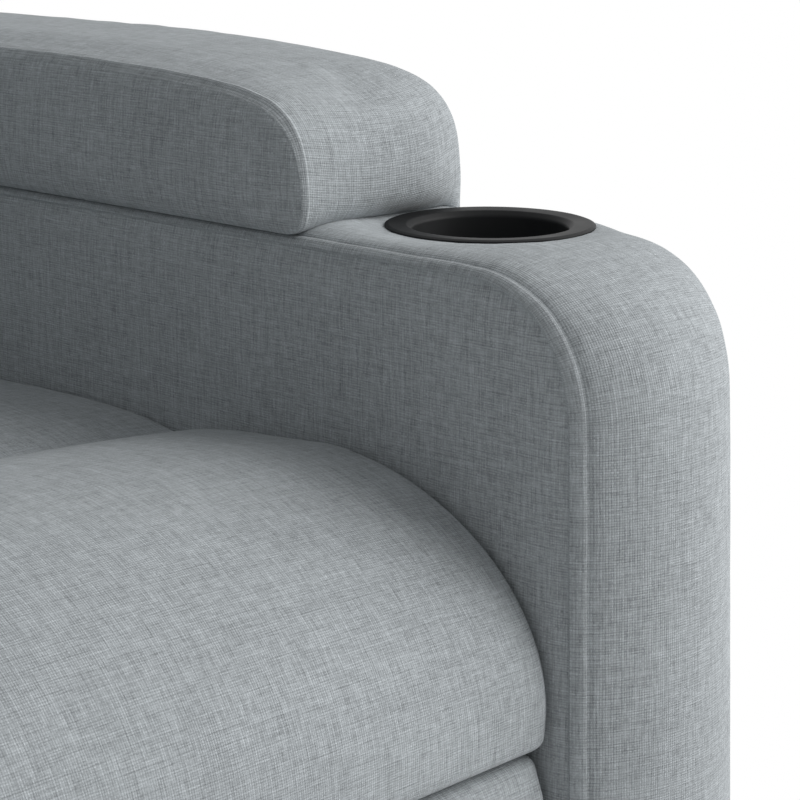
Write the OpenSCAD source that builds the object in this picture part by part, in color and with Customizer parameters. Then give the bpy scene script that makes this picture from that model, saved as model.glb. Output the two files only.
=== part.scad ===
// Lift recliner chair: upholstered body on a four-bar lift base, with a
// reclining back and a legrest on a folding linkage. Millimetres, floor at
// z = 0, the sitter faces -Y, and the sitter's left is +X.

/* [Seat] */
// Clear width between the two armrests
seat_w = 500; // [470:5:540]
// Top of the seat cushion beside the arms
seat_h = 500; // [490:2:516]
// Thickness of the seat cushion over the deck
seat_t = 120; // [112:2:124]
// Extra height of the cushion in its middle
seat_crown = 16; // [4:1:24]
// Foremost reach of the rolled seat front
seat_front = -441; // [-448:1:-434]
// Gap between a cushion's end and the arm beside it
side_gap = 2; // [1.5:0.5:6]

/* [Armrests] */
// Width of one armrest
arm_w = 172; // [164:2:190]
// Height of the armrest's top
arm_h = 600; // [585:5:620]
// Clearance under the armrest
arm_base = 70; // [60:2:90]
// Front of the armrest
arm_front = -463; // [-470:1:-455]
// Rear end of the armrest
arm_back = 330; // [325:1:340]
// Radius of the front top corner, seen from the side
arm_corner = 65; // [50:1:80]
// Rounding of the outer top edge
arm_edge_top = 46; // [36:1:50]
// Rounding of the outer front edge
arm_edge_front = 80; // [66:1:84]
// Height of the raised arm pad at its inner seam
pad_h = 76; // [60:2:86]
// Extra height in the middle of the arm pad
pad_crown = 13; // [4:1:18]
// Front of the raised arm pad, where it bulges most
pad_front = -276; // [-278:1:-262]
// Rear end of the raised arm pad
pad_back = 228; // [200:2:230]

/* [Cup holders] */
// Radius of the drink well
cup_r = 40; // [34:0.5:41]
// Radius of the flange on the arm
cup_flange_r = 54; // [50:0.5:56]
// Inside depth of the well
cup_depth = 60; // [45:1:80]
// Wall of the moulded cup
cup_wall = 3; // [2:0.5:3.5]
// Centre of the cup holder, from front to back
cup_y = -320; // [-325:1:-315]

/* [Back] */
// Lean of the back from upright
back_lean = 16; // [14:1:18]
// Length of the back above its hinge
back_len = 640; // [610:5:650]
// Width that a side wing adds to each side of the back
wing_w = 58; // [45:1:65]
// Depth of the padded frame of the back
back_shell_t = 118; // [110:1:120]

/* [Legrest] */
// Lower edge of the legrest
rest_low = 95; // [90:1:110]
// Thickness of the legrest pad at its seams
rest_pad_t = 46; // [40:1:50]
// Thickness of the plywood board
board_t = 18; // [12:1:18]

/* [Steelwork] */
// Side of the square base tube
tube = 30; // [25:1:32]
// Front end of the base rails
base_front = -330; // [-340:1:-320]
// Rear end of the base rails
base_back = 300; // [300:1:315]
// Height of the floor glides
glide_h = 15; // [12:1:18]
// Thickness of the flat steel links
link_t = 4; // [3:0.5:4.5]
// Half the width of a flat steel link
link_r = 12; // [11:0.5:13]
// Radius of the pivot pins
pin_r = 5; // [4:0.5:5.5]
// Radius of the round cross tubes
round_r = 12.5; // [11:0.5:14]
// Radius of the legrest's torque tube
torque_r = 10; // [9:0.5:11]

/* [Hidden] */
$fn = 48;

// Clearances
run = 0.05;        // pin in its bore
open_gap = 1.7;    // pin in the eye where a closed linkage is opened
lay = 0.3;         // boards and shells that lie in one another
eye = 1.5;         // a link's eye stands out beside its bar

// Colours
cloth = [0.55, 0.58, 0.60];
steel = [0.16, 0.16, 0.17];
zinc = [0.62, 0.63, 0.65];
wood = [0.78, 0.64, 0.45];
black = [0.07, 0.07, 0.08];
felt = [0.25, 0.26, 0.28];

// Places that follow from the sizes above. A point in a side view is [y, z].
half_w = seat_w / 2;
arm_out = half_w + arm_w;
deck_top = seat_h - seat_t;
deck_t = 8;
frame_top = deck_top - deck_t;
frame_low = frame_top - 60;
frame_front = -372;
frame_back = 125;
rail_top = glide_h + tube;

// Lift linkage: base pivots A and C, frame pivots B and D
piv_a = [-264, 110];
piv_b = [25.4, 90.1];
piv_c = [-188.8, 107.2];
piv_d = [259.8, 76.9];

// Legrest linkage
leg_a = [-215, frame_low - 22];
leg_b = leg_a + [-41.3, -59.6];
knee = leg_a + [15, -200];
knee_tail = leg_a + [-16.5, -227.8];
knee_top = leg_a + [29.4, -160.5];
rest_a = leg_a + [-147, -75];
rest_b = leg_a + [-130, -34.7];
rest_board_y = rest_a[0] - 15 - board_t;
rest_top = deck_top - 4;

// Back hinge and its drive
hinge = [185, deck_top + 20];
hinge_r = 6;
lever_r = 126;
lever_swing = 20;
recline_z = hinge[1] - lever_r;
recline_x = 70;
pin_y = hinge[0] + lever_r * tan(lever_swing);
cross_front_at = [-175, recline_z];

// Lift drive, which runs under the recline drive
lift_tube_at = [-120, recline_z - 49];
crank_at = lift_tube_at - [85, 25];
clevis_at = [base_back - 28, 100];
motor_tilt = atan2(crank_at[1] - clevis_at[1], clevis_at[0] - crank_at[0]);
motor_len = norm(crank_at - clevis_at);
cross_rear_at = [265, 215];

// Plates side by side, measured from the middle of the chair
x_lift_front = 180;
x_plate = 188;
plate_t = 5;
x_lift_rear = 197;
x_leg = [205, 211, 217, 223, 229];   // steer, main, outer, guide, bracket
flange_t = 4;
flange_front = -330;
rail_x = x_plate - 13;

// ---------- shared shapes ----------

module slab(x, t) {
    translate([x, 0, 0]) rotate([90, 0, 90]) linear_extrude(t) children();
}

module rod_x(x0, x1, at, r) {
    translate([x0, at[0], at[1]]) rotate([0, 90, 0]) cylinder(h = x1 - x0, r = r);
}

module both() {
    children();
    mirror([1, 0, 0]) children();
}

// A flat bar with rounded eyes that are a little wider than the bar
module bar2d(p, q, r) {
    translate(p) circle(r);
    translate(q) circle(r);
    translate(p) rotate(atan2(q[1] - p[1], q[0] - p[0]))
        translate([0, eye - r]) square([norm(q - p), 2 * (r - eye)]);
}

module link(x, p, q, rp = pin_r + run, rq = pin_r + run, r = link_r) {
    slab(x, link_t) difference() {
        bar2d(p, q, r);
        translate(p) circle(rp);
        translate(q) circle(rq);
    }
}

// A closed form through rings of equally many points, with fanned ends
module skin(rings) {
    n = len(rings[0]);
    m = len(rings);
    mid = function(r) [for (k = [0:2]) let (v = [for (p = r) p[k]]) (min(v) + max(v)) / 2];
    points = concat([for (r = rings) each r], [mid(rings[0]), mid(rings[m - 1])]);
    side = [for (i = [0:m - 2], j = [0:n - 1]) let (k = (j + 1) % n)
        each [[i * n + j, i * n + k, (i + 1) * n + j], [i * n + k, (i + 1) * n + k, (i + 1) * n + j]]];
    ends = [for (j = [0:n - 1]) let (k = (j + 1) % n)
        each [[m * n, k, j], [m * n + 1, (m - 1) * n + j, (m - 1) * n + k]]];
    polyhedron(points = points, faces = concat(side, ends), convexity = 6);
}

function arc2(c, ry, rz, a0, a1, n) =
    [for (i = [0:n]) let (a = a0 + (a1 - a0) * i / n) [c[0] + ry * cos(a), c[1] + rz * sin(a)]];
function steps(a, b, n) = [for (i = [0:n]) a + (b - a) * i / n];
// How far an edge of radius r has drawn in at a distance u before its end
function drawn(r, u) = u >= r ? 0 : r - sqrt(max(0, r * r - (r - u) * (r - u)));
// Stations along a width, closer together where the ends round off
function stations(x0, x1, r, n) = concat(
    [for (i = [0:n]) x0 + r * (1 - cos(90 * i / n))],
    steps(x0 + r, x1 - r, 4 + 1),
    [for (i = [0:n]) x1 - r + r * sin(90 * i / n)]);
function tidy(xs) = [for (i = [0:len(xs) - 1]) if (i == 0 || abs(xs[i] - xs[i - 1]) > 0.5) xs[i]];
// A swell of 1 in the middle and 0 at both ends
function swell(x, half) = max(0, 1 - pow(abs(x) / half, 2.4));

// ---------- base ----------

tube_wall = 2;

module base_rail() {
    color(steel) translate([rail_x, base_front, glide_h]) difference() {
        cube([tube, base_back - base_front, tube]);
        translate([tube_wall, -1, tube_wall])
            cube([tube - 2 * tube_wall, base_back - base_front + 2, tube - 2 * tube_wall]);
    }
}

module base_cross(y) {
    color(steel) translate([-rail_x, y, glide_h]) difference() {
        cube([2 * rail_x, tube, tube]);
        translate([-1, tube_wall, tube_wall])
            cube([2 * rail_x + 2, tube - 2 * tube_wall, tube - 2 * tube_wall]);
    }
}

module base_uprights() {
    color(steel) both() slab(x_plate, plate_t) difference() {
        polygon([[base_front + 30, rail_top], [base_front + 180, rail_top], [piv_c[0] + 22, piv_c[1] + 22],
            [piv_a[0] - 22, piv_a[1] + 22]]);
        translate(piv_a) circle(pin_r + run);
        translate(piv_c) circle(pin_r + run);
    }
    color(zinc) both() {
        rod_x(x_lift_front, x_plate + plate_t, piv_a, pin_r);
        rod_x(x_plate, x_lift_rear + link_t, piv_c, pin_r);
    }
}

module floor_glides() {
    color(black) for (x = [-1, 1], y = [base_front + 20, base_back - 20])
        translate([x * (rail_x + tube / 2), y, 0]) cylinder(h = glide_h, r1 = 13, r2 = 14);
}

clevis_half = 11;

module motor_clevis() {
    color(steel) for (x = [clevis_half, -clevis_half - 5]) slab(x, 5) difference() {
        union() {
            translate(clevis_at) circle(13);
            translate([clevis_at[0] - 13, rail_top]) square([26, clevis_at[1] - rail_top]);
        }
        translate(clevis_at) circle(pin_r + run);
    }
    color(zinc) rod_x(-clevis_half - 7, clevis_half + 7, clevis_at, pin_r);
}

supply_back = base_back - 18;

module power_supply() {
    color(black) difference() {
        translate([-165, supply_back - 70, rail_top]) cube([125, 70, 38]);
        translate([-120, supply_back - 10, rail_top + 9]) cube([28, 11, 20]);
    }
}

// ---------- lift linkage ----------

module lift_link_front() {
    foot = [lift_tube_at[0], 102];
    color(steel) slab(x_lift_front, link_t) difference() {
        union() {
            bar2d(piv_a, piv_b, 14);
            bar2d(foot, lift_tube_at, 17);
        }
        translate(piv_a) circle(pin_r + run);
        translate(piv_b) circle(pin_r + run);
        translate(lift_tube_at) circle(round_r + run);
    }
}

module lift_cross_tube() {
    color(steel) difference() {
        rod_x(-x_lift_front - link_t, x_lift_front + link_t, lift_tube_at, round_r);
        rod_x(-x_lift_front - link_t - 1, x_lift_front + link_t + 1, lift_tube_at, round_r - 2);
    }
}

module lift_crank() {
    color(steel) both() slab(13, 5) difference() {
        union() {
            bar2d(lift_tube_at, crank_at, 14);
            translate(lift_tube_at) circle(20);
        }
        translate(lift_tube_at) circle(round_r + run);
        translate(crank_at) circle(pin_r + run);
    }
    color(zinc) rod_x(-20, 20, crank_at, pin_r);
}

module lift_link_rear() {
    color(steel) link(x_lift_rear, piv_c, piv_d, rq = pin_r + open_gap, r = 14);
}

// Drives are drawn along -Y from their rear eye, then turned to their line
module on_lift_line() {
    translate([0, clevis_at[0], clevis_at[1]]) rotate([-motor_tilt, 0, 0]) children();
}

motor_head = 95;
outer_tube_end = 330;

module lift_motor() {
    color(black) on_lift_line() difference() {
        union() {
            translate([-10, -motor_head + 20, -12]) cube([20, motor_head - 8, 24]);
            translate([-26, -motor_head, -30]) cube([52, 65, 60]);
            translate([26, -62, 0]) rotate([0, 90, 0]) cylinder(h = 95, r = 24);
        }
        rod_x(-11, 11, [0, 0], pin_r + run);
    }
}

module lift_motor_tube() {
    color(zinc) on_lift_line() difference() {
        translate([0, -motor_head, 0]) rotate([90, 0, 0]) cylinder(h = outer_tube_end - motor_head, r = 17);
        translate([0, -motor_head - 4, 0]) rotate([90, 0, 0]) cylinder(h = outer_tube_end, r = 11 + run);
    }
}

// The eye is slotted upright, because the crank rises and falls as it swings
module lift_motor_rod() {
    slot_r = pin_r + 2;
    color(zinc) on_lift_line() difference() {
        union() {
            translate([0, -motor_head - 60, 0]) rotate([90, 0, 0])
                cylinder(h = motor_len - motor_head - 60 - 12, r = 11);
            slab(-9, 18) translate([-motor_len - 14, -14]) square([28, 42]);
        }
        slab(-10, 20) {
            translate([-motor_len, 0]) circle(slot_r);
            translate([-motor_len, 13]) circle(slot_r);
            translate([-motor_len - slot_r, 0]) square([2 * slot_r, 13]);
        }
    }
}

// ---------- seat structure ----------

module side_plate() {
    top = frame_low - flange_t;
    beam_low = frame_low - 46;
    rear_top = frame_low - 28;
    rear_end = 290;
    color(steel) {
        slab(x_plate, plate_t) difference() {
            union() {
                polygon([[-300, beam_low], [frame_back, beam_low], [frame_back + 14, beam_low - 14],
                    [rear_end, beam_low - 14], [rear_end, rear_top], [frame_back + 20, rear_top],
                    [frame_back, top], [-300, top]]);
                bar2d(leg_b, [leg_b[0] + 16, beam_low + 20], 20);
                translate(cross_front_at) circle(round_r + 10);
                bar2d(piv_b, [piv_b[0], beam_low + 16], 22);
                bar2d(piv_d, [piv_d[0], beam_low - 8], 22);
            }
            translate(leg_a) circle(torque_r + run);
            for (p = [leg_b, piv_b, piv_d]) translate(p) circle(pin_r + run);
            translate(cross_front_at) circle(round_r + run);
            translate(cross_rear_at) circle(round_r + run);
        }
        translate([x_plate, flange_front, frame_low - flange_t])
            cube([half_w - x_plate, frame_back - flange_front, flange_t]);
    }
}

module frame_cross_tubes() {
    wide = x_plate + plate_t;
    color(steel) for (at = [cross_front_at, cross_rear_at]) difference() {
        rod_x(-wide, wide, at, round_r);
        rod_x(-wide - 1, wide + 1, at, round_r - 2);
    }
}

module frame_pivot_pins() {
    color(zinc) both() {
        rod_x(x_lift_front, x_plate + plate_t, piv_b, pin_r);
        rod_x(x_plate, x_lift_rear + link_t, piv_d, pin_r);
        rod_x(x_plate, x_leg[0] + link_t, leg_b, pin_r);
    }
}

frame_rail = 22;

module seat_frame() {
    color(wood) difference() {
        translate([-half_w, frame_front, frame_low])
            cube([seat_w, frame_back - frame_front, frame_top - frame_low]);
        translate([-half_w + frame_rail, frame_front + frame_rail, frame_low - 1])
            cube([seat_w - 2 * frame_rail, frame_back - frame_front - 2 * frame_rail,
                frame_top - frame_low + 2]);
    }
}

spring_waves = 10;
spring_amp = 20;
spring_r = 2;

// One zig-zag spring: a wire that swings from side to side along its length
module spring() {
    y0 = frame_front + frame_rail;
    y1 = frame_back - frame_rail;
    n = spring_waves * 4;
    line = [for (i = [0:n]) [spring_amp * sin(180 * spring_waves * i / n), y0 + (y1 - y0) * i / n]];
    skin([for (i = [0:n]) let (
            a = line[max(0, i - 1)],
            b = line[min(n, i + 1)],
            along = i == 0 || i == n ? [0, 1] : (b - a) / norm(b - a))
        [for (k = [0:4]) let (c = spring_r * cos(72 * k), s = spring_r * sin(72 * k))
            [line[i][0] + c * along[1], line[i][1] - c * along[0], s]]]);
}

module seat_springs() {
    color(zinc) for (x = [-150, -50, 50, 150]) translate([x, 0, frame_top - spring_r]) spring();
}

module seat_deck() {
    color(felt) translate([-half_w, frame_front, frame_top])
        cube([seat_w, frame_back - frame_front, deck_t]);
}

// ---------- upholstery ----------

seat_back = 100;
roll_len = 145;
channel_y = -212;

// Outline of the seat cushion at its inset d and extra height c
function seat_ring(x, d, c) = let (
        roll = [seat_front + roll_len, deck_top + 15],
        rise = seat_h - roll[1])
    [for (p = concat(
        [[roll[0] - (roll_len - 4 - d), deck_top]],
        arc2(roll, roll_len - d, rise + c - d, 180, 90, 7),
        [[channel_y - 36, seat_h - 2 + c - d], [channel_y - 13, seat_h - 8 + c * 0.8 - d],
         [channel_y, seat_h - 17 + c * 0.5 - d], [channel_y + 13, seat_h - 6 + c * 0.8 - d],
         [channel_y + 40, seat_h + 3 + c - d], [-90, seat_h + 5 + c - d], [0, seat_h + 2 + c - d]],
        arc2([seat_back - 34, seat_h - 34 + c * 0.8], 34 - min(d, 30), 34 - min(d, 30), 90, 0, 3),
        [[seat_back - min(d, 30), deck_top], [-100, deck_top]])) [x, p[0], p[1]]];

module seat_cushion() {
    end = half_w - side_gap;
    edge = 30;
    color(cloth) skin([for (x = tidy(stations(-end, end, edge, 4)))
        seat_ring(x, drawn(edge, min(end - x, x + end)), seat_crown * swell(x, end))]);
}

// Outline of an armrest at insets df from the front and dt from the top
function arm_ring(x, df, dt) = let (r = arm_corner, b = 40, low = 4)
    [for (p = concat(
        [[arm_front + min(df, r - low), arm_base]],
        arc2([arm_front + r, arm_h - r], max(r - df, low), r - dt, 180, 90, 7),
        [[-200, arm_h - dt], [0, arm_h - dt], [200, arm_h - dt]],
        arc2([arm_back - b, arm_h - b], max(b - df, low), max(b - dt, low), 90, 0, 4),
        [[arm_back - min(df, b - low), arm_base], [-60, arm_base]])) [x, p[0], p[1]]];

function edge_stations(x0, x1, r, n) =
    concat([x0, x0 + 30, (x0 + x1 - r) / 2], [for (i = [0:n]) x1 - r + r * sin(90 * i / n)]);

// The fabric and foam around the wooden arm box, open below
arm_cavity_low = [half_w + 14, -395, arm_base];
arm_cavity_top = [arm_out - 16, 285, arm_h - 28];

module arm_box(grow) {
    lo = arm_cavity_low - [grow, grow, 1];
    hi = arm_cavity_top + [grow, grow, grow];
    translate(lo) cube(hi - lo);
}

module arm() {
    color(cloth) difference() {
        skin([for (x = edge_stations(half_w, arm_out, arm_edge_front, 6))
            arm_ring(x, drawn(arm_edge_front, arm_out - x), drawn(arm_edge_top, arm_out - x))]);
        arm_box(0);
        cup_at() translate([0, 0, -40]) cylinder(h = 60, r = cup_r + cup_wall + 1);
    }
}

module arm_frame() {
    board = 15;
    lo = arm_cavity_low + [lay, lay, 0];
    hi = arm_cavity_top - [lay, lay, lay];
    inset = [board, board, 0];
    color(wood) difference() {
        translate(lo) cube(hi - lo);
        translate(lo + inset - [0, 0, 1]) cube(hi - lo - 2 * inset - [0, 0, board - 1]);
        cup_at() translate([0, 0, -60]) cylinder(h = 80, r = cup_r + cup_wall + 2);
    }
}

// How far the foot of the pad's front lies behind its bulge
pad_tuck = 24;

function pad_ring(x, df, dt, c) = let (r = 46, b = 40, top = arm_h + pad_h + c, low = 4)
    [for (p = concat(
        [[pad_front + pad_tuck + min(df, r * 0.4), arm_h], [pad_front + 6 + min(df, r * 0.8), arm_h + 10]],
        arc2([pad_front + r + df * 0.5, arm_h + pad_h - r + c * 0.5], r - df * 0.5,
            max(r + c * 0.5 - dt, low), 180, 90, 6),
        [[-120, top - dt], [40, top - dt]],
        arc2([pad_back - b, arm_h + pad_h - b + c * 0.5], b - min(df, b - low) * 0.5,
            max(b + c * 0.5 - dt, low), 90, 0, 4),
        [[pad_back - min(df, b * 0.9), arm_h], [-20, arm_h]])) [x, p[0], p[1]]];

module arm_pad() {
    x1 = arm_out - 3;
    edge = 60;
    color(cloth) skin([for (x = concat([half_w, half_w + 8, half_w + 30, half_w + 60],
            [for (i = [0:6]) x1 - edge + edge * sin(90 * i / 6)]))
        pad_ring(x, drawn(edge + 20, x1 - x) * 0.9, drawn(edge, x1 - x),
            pad_crown * sin(min(90, 90 * (x - half_w) / 70)))]);
}

module cup_at() {
    translate([half_w + 90, cup_y, arm_h]) children();
}

module cup_holder() {
    out = cup_r + cup_wall;
    color(black) cup_at() rotate_extrude() polygon([
        [0, 3 - cup_depth - cup_wall], [out - 2, 3 - cup_depth - cup_wall],
        [out, 5 - cup_depth - cup_wall], [out, 0], [cup_flange_r, 0], [cup_flange_r, 1.6],
        [cup_flange_r - 2, 3], [cup_r, 3], [cup_r, 3 - cup_depth], [0, 3 - cup_depth]]);
}

pocket_depth = 24;
pocket_t = 3;
pocket_y = [-170, 70];
pocket_z = [335, 465];

module side_pocket() {
    color(cloth) difference() {
        translate([arm_out, pocket_y[0], pocket_z[0]])
            cube([pocket_depth + pocket_t, pocket_y[1] - pocket_y[0], pocket_z[1] - pocket_z[0]]);
        translate([arm_out - 1, pocket_y[0] + pocket_t, pocket_z[0] + pocket_t])
            cube([pocket_depth + 1, pocket_y[1] - pocket_y[0] - 2 * pocket_t, 300]);
    }
}

rear_panel_h = 330;

module rear_panel() {
    color(cloth) translate([-half_w, arm_back - 15, arm_base])
        cube([seat_w, 15, rear_panel_h - arm_base]);
}

// ---------- back ----------

module in_back() {
    translate([0, hinge[0], hinge[1]]) rotate([-back_lean, 0, 0]) children();
}

// A point of the leaning back as [y, z] of the chair
function from_back(p) = hinge + [p[0] * cos(back_lean) + p[1] * sin(back_lean),
    p[1] * cos(back_lean) - p[0] * sin(back_lean)];

shell_front = -10;
shell_low = -35;
shell_half = half_w - 10;
back_top_half = shell_half + wing_w;
wide_from = 322;

module back_hinge_brackets() {
    color(steel) both() slab(half_w - 5, 5) difference() {
        union() {
            translate(hinge) circle(24);
            translate([hinge[0] - 45, hinge[1] - 30]) square([90, 40]);
        }
        translate(hinge) circle(hinge_r + run);
    }
    color(zinc) both() rod_x(shell_half - 24, half_w, hinge, hinge_r);
}

// Outline of the back's shell at height z up the back
function shell_ring(z, w, d) = let (r = 22, y0 = shell_front, y1 = shell_front + back_shell_t - d)
    [for (q = [[w - r, y1 - r, 0], [r - w, y1 - r, 90]], i = [0:3])
        [q[0] + r * cos(q[2] + 30 * i), q[1] + r * sin(q[2] + 30 * i), z]];

function shell_outline(z, w, d) = concat(shell_ring(z, w, d), [[-w, shell_front, z], [0, shell_front, z],
    [w, shell_front, z]]);

module back_shell() {
    top = back_len;
    levels = [[top, back_top_half - 26, 42], [top - 7, back_top_half - 12, 24],
        [top - 20, back_top_half - 4, 10], [top - 40, back_top_half, 2], [wide_from, back_top_half, 0],
        [wide_from - 30, shell_half, 0], [120, shell_half, 0], [shell_low + 12, shell_half, 0],
        [shell_low, shell_half, 4]];
    color(cloth) difference() {
        in_back() skin([for (l = levels) shell_outline(l[0], l[1], l[2])]);
        in_back() translate([-shell_half + 15, shell_front - 1, shell_low + 14])
            cube([2 * (shell_half - 15), back_shell_t - 18, back_len - shell_low - 60]);
        rod_x(-half_w, half_w, hinge, hinge_r + run);
    }
}

module back_frame() {
    out = shell_half - 15 - lay;
    deep = 62;
    long = back_len - shell_low - 62;
    color(wood) difference() {
        in_back() translate([0, shell_front + 12, shell_low + 15]) {
            for (x = [-out, out - 28]) translate([x, 0, 0]) cube([28, deep, long]);
            for (z = [0, 200, 390, long - 50]) translate([-out + 28, 0, z])
                cube([2 * out - 56, deep, 50]);
        }
        rod_x(-half_w, half_w, hinge, hinge_r + run);
    }
}

// Outline of a back cushion between heights z0 and z1, bulging forward by b
function roll_ring(x, z0, z1, b, d) = let (h = (z1 - z0) / 2, zc = (z0 + z1) / 2, y0 = shell_front)
    [for (p = concat(
        [[y0, z0 + 6 + d * 0.5]],
        [for (i = [0:10]) let (a = -90 + 180 * i / 10)
            [y0 - 22 - (b - 22 - d) * pow(max(0, cos(a)), 0.55), zc + (h - d * 0.5) * sign(sin(a)) * pow(abs(sin(a)), 0.8)]],
        [[y0, z1 - 6 - d * 0.5], [y0, zc]])) [x, p[0], p[1]]];

module back_roll(z0, z1, b, crown) {
    end = shell_half + 2;
    edge = 34;
    color(cloth) in_back() skin([for (x = tidy(stations(-end, end, edge, 3)))
        roll_ring(x, z0, z1, b + crown * swell(x, end), drawn(edge, min(end - x, x + end)))]);
}

roll_z = [36, 236, 430, back_len - 2];
roll_seam = 2;

module lumbar_cushion() {
    back_roll(roll_z[0], roll_z[1] - roll_seam, 84, 10);
}

module shoulder_cushion() {
    back_roll(roll_z[1], roll_z[2] - roll_seam, 80, 8);
}

module head_cushion() {
    back_roll(roll_z[2], roll_z[3], 98, 10);
}

// Outline of a side wing of the back
function wing_ring(z, x0, x1, d) = let (y0 = shell_front, b = 92 - d, m = (x0 + x1) / 2, h = (x1 - x0) / 2)
    [for (p = concat([[x0 + 1, y0]], [[x1 - d * 0.2, y0]],
        [for (i = [0:6]) let (a = 30 * i) [m + (h - d * 0.2) * cos(a), y0 - b + 30 - 30 * sin(a)]]))
        [p[0], p[1], z]];

module wing() {
    x0 = shell_half + 4;
    x1 = back_top_half;
    r = 34;
    z0 = wide_from + 3;
    z1 = back_len - 4;
    color(cloth) in_back() skin([for (z = concat([for (i = [0:4]) z0 + r * (1 - cos(22.5 * i))],
            [(z0 + z1) / 2], [for (i = [0:4]) z1 - r + r * sin(22.5 * i)]))
        wing_ring(z, x0, x1, drawn(r, min(z - z0, z1 - z)))]);
}

module recline_lever() {
    tip = hinge + (lever_r / cos(lever_swing)) * [sin(lever_swing), -cos(lever_swing)];
    along = (tip - hinge) / norm(tip - hinge);
    t = 4;
    ear = 11;
    color(steel) {
        for (x = [recline_x + ear, recline_x - ear - 5]) slab(x, 5) difference() {
            union() {
                polygon([from_back([2, shell_low - t]), from_back([58, shell_low - t]), tip + [13, 0],
                    tip - [15, 0]]);
                translate(tip) circle(15);
            }
            translate(tip) circle(pin_r + 1.2);
            translate(tip - 9 * along) circle(pin_r + 1.2);
            translate(tip - 4.5 * along) rotate(atan2(along[1], along[0]))
                square([9, 2 * pin_r + 2.4], center = true);
        }
        in_back() translate([recline_x - 30, 0, shell_low - t]) cube([60, 60, t]);
    }
}

recline_head_y = -98;
recline_tube_end = 112;

module recline_motor() {
    z = recline_z;
    y0 = cross_front_at[0] + round_r;
    color(black) {
        difference() {
            translate([recline_x - 26, y0, z - 28]) cube([52, recline_head_y - y0, 56]);
            rod_y(recline_head_y - 30, recline_head_y + 1, 11);
        }
        translate([recline_x + 26, (y0 + recline_head_y) / 2, z]) rotate([0, 90, 0]) cylinder(h = 72, r = 22);
    }
    color(zinc) difference() {
        rod_y(recline_head_y, recline_tube_end, 15);
        rod_y(recline_head_y - 1, recline_tube_end + 1, 9 + run);
    }
}

module rod_y(y0, y1, r) {
    translate([recline_x, y1, recline_z]) rotate([90, 0, 0]) cylinder(h = y1 - y0, r = r);
}

module recline_motor_rod() {
    color(zinc) {
        rod_y(0, pin_y - 10, 9);
        translate([recline_x - 9, pin_y - 14, recline_z - 10]) cube([18, 26, 20]);
        rod_x(recline_x - 19, recline_x + 19, [pin_y, recline_z], pin_r);
    }
}

// ---------- legrest ----------

board_half = half_w - 10;

module footrest_board() {
    color(wood) translate([-board_half, rest_board_y, rest_low + 5])
        cube([2 * board_half, board_t, rest_top - rest_low - 17]);
}

rest_channel = 236;

function rest_lobe(z0, z1, b, d, n) =
    [for (i = [0:n]) let (a = -90 + 180 * i / n)
        [rest_board_y - rest_pad_t + d - b * pow(max(0, cos(a)), 0.7), (z0 + z1) / 2 + (z1 - z0) / 2 * sin(a)]];

function rest_ring(x, b, d) = let (top = rest_top - 2 - d * 0.6, low = rest_low + d * 0.6, y = rest_board_y)
    [for (p = concat([[y, low], [y - 20, low]], rest_lobe(low + 8, rest_channel - 4, b, d, 6),
        [[y - rest_pad_t + 8 + d * 0.4, rest_channel]],
        rest_lobe(rest_channel + 4, top - 6, b, d, 6), [[y - 20, top], [y, top]])) [x, p[0], p[1]]];

module footrest_pad() {
    end = half_w - side_gap - 2;
    edge = 22;
    color(cloth) skin([for (x = tidy(stations(-end, end, edge, 3)))
        rest_ring(x, 9 + 5 * swell(x, end), drawn(edge, min(end - x, x + end)))]);
}

module footrest_brackets() {
    y_board = rest_board_y + board_t;
    color(steel) both() {
        slab(x_leg[4], link_t) difference() {
            union() {
                bar2d(rest_a, rest_b, link_r);
                translate([y_board, rest_a[1] - 25]) square([22, 74]);
            }
            translate(rest_a) circle(pin_r + run);
            translate(rest_b) circle(pin_r + run);
        }
    }
    color(zinc) both() {
        rod_x(x_leg[2], x_leg[4] + link_t, rest_a, pin_r);
        rod_x(x_leg[3], x_leg[4] + link_t, rest_b, pin_r);
    }
}

module footrest_torque_tube() {
    color(steel) difference() {
        rod_x(-x_leg[1] - link_t, x_leg[1] + link_t, leg_a, torque_r);
        rod_x(-x_leg[1] - link_t - 1, x_leg[1] + link_t + 1, leg_a, torque_r - 2);
    }
}

module footrest_links_main() {
    color(steel) both() slab(x_leg[1], link_t) difference() {
        bar2d(leg_a, knee, link_r + 3);
        translate(leg_a) circle(torque_r + run);
        translate(knee) circle(pin_r + run);
        translate(knee_top) circle(pin_r + run);
    }
    color(zinc) both() {
        rod_x(x_leg[1], x_leg[2] + link_t, knee, pin_r);
        rod_x(x_leg[1], x_leg[3] + link_t, knee_top, pin_r);
    }
}

module footrest_links_outer() {
    color(steel) both() slab(x_leg[2], link_t) difference() {
        union() {
            bar2d(knee, rest_a, link_r);
            bar2d(knee, knee_tail, link_r);
        }
        for (p = [knee, rest_a, knee_tail]) translate(p) circle(pin_r + run);
    }
    color(zinc) both() rod_x(x_leg[0], x_leg[2] + link_t, knee_tail, pin_r);
}

module footrest_links_steer() {
    color(steel) both() link(x_leg[0], leg_b, knee_tail, rq = pin_r + open_gap);
}

module footrest_links_guide() {
    color(steel) both() link(x_leg[3], knee_top, rest_b, rq = pin_r + open_gap);
}

// ---------- handset ----------

handset_size = [18, 55, 185];
handset_at = [-arm_out - pocket_depth + 3, -78, pocket_z[0] + pocket_t + lay];
button_r = 7;
button_travel = 1.5;
button_face = 2;

module button_places(k) {
    translate([handset_at[0], handset_at[1] + handset_size[1] * (k % 2 == 0 ? 0.28 : 0.72),
        handset_at[2] + handset_size[2] - (k < 2 ? 24 : 48)]) rotate([0, -90, 0]) children();
}

module handset() {
    color(black) difference() {
        translate(handset_at) cube(handset_size);
        for (k = [0:3]) button_places(k) translate([0, 0, -5]) cylinder(h = 6, r = button_r + 0.3);
    }
}

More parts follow.
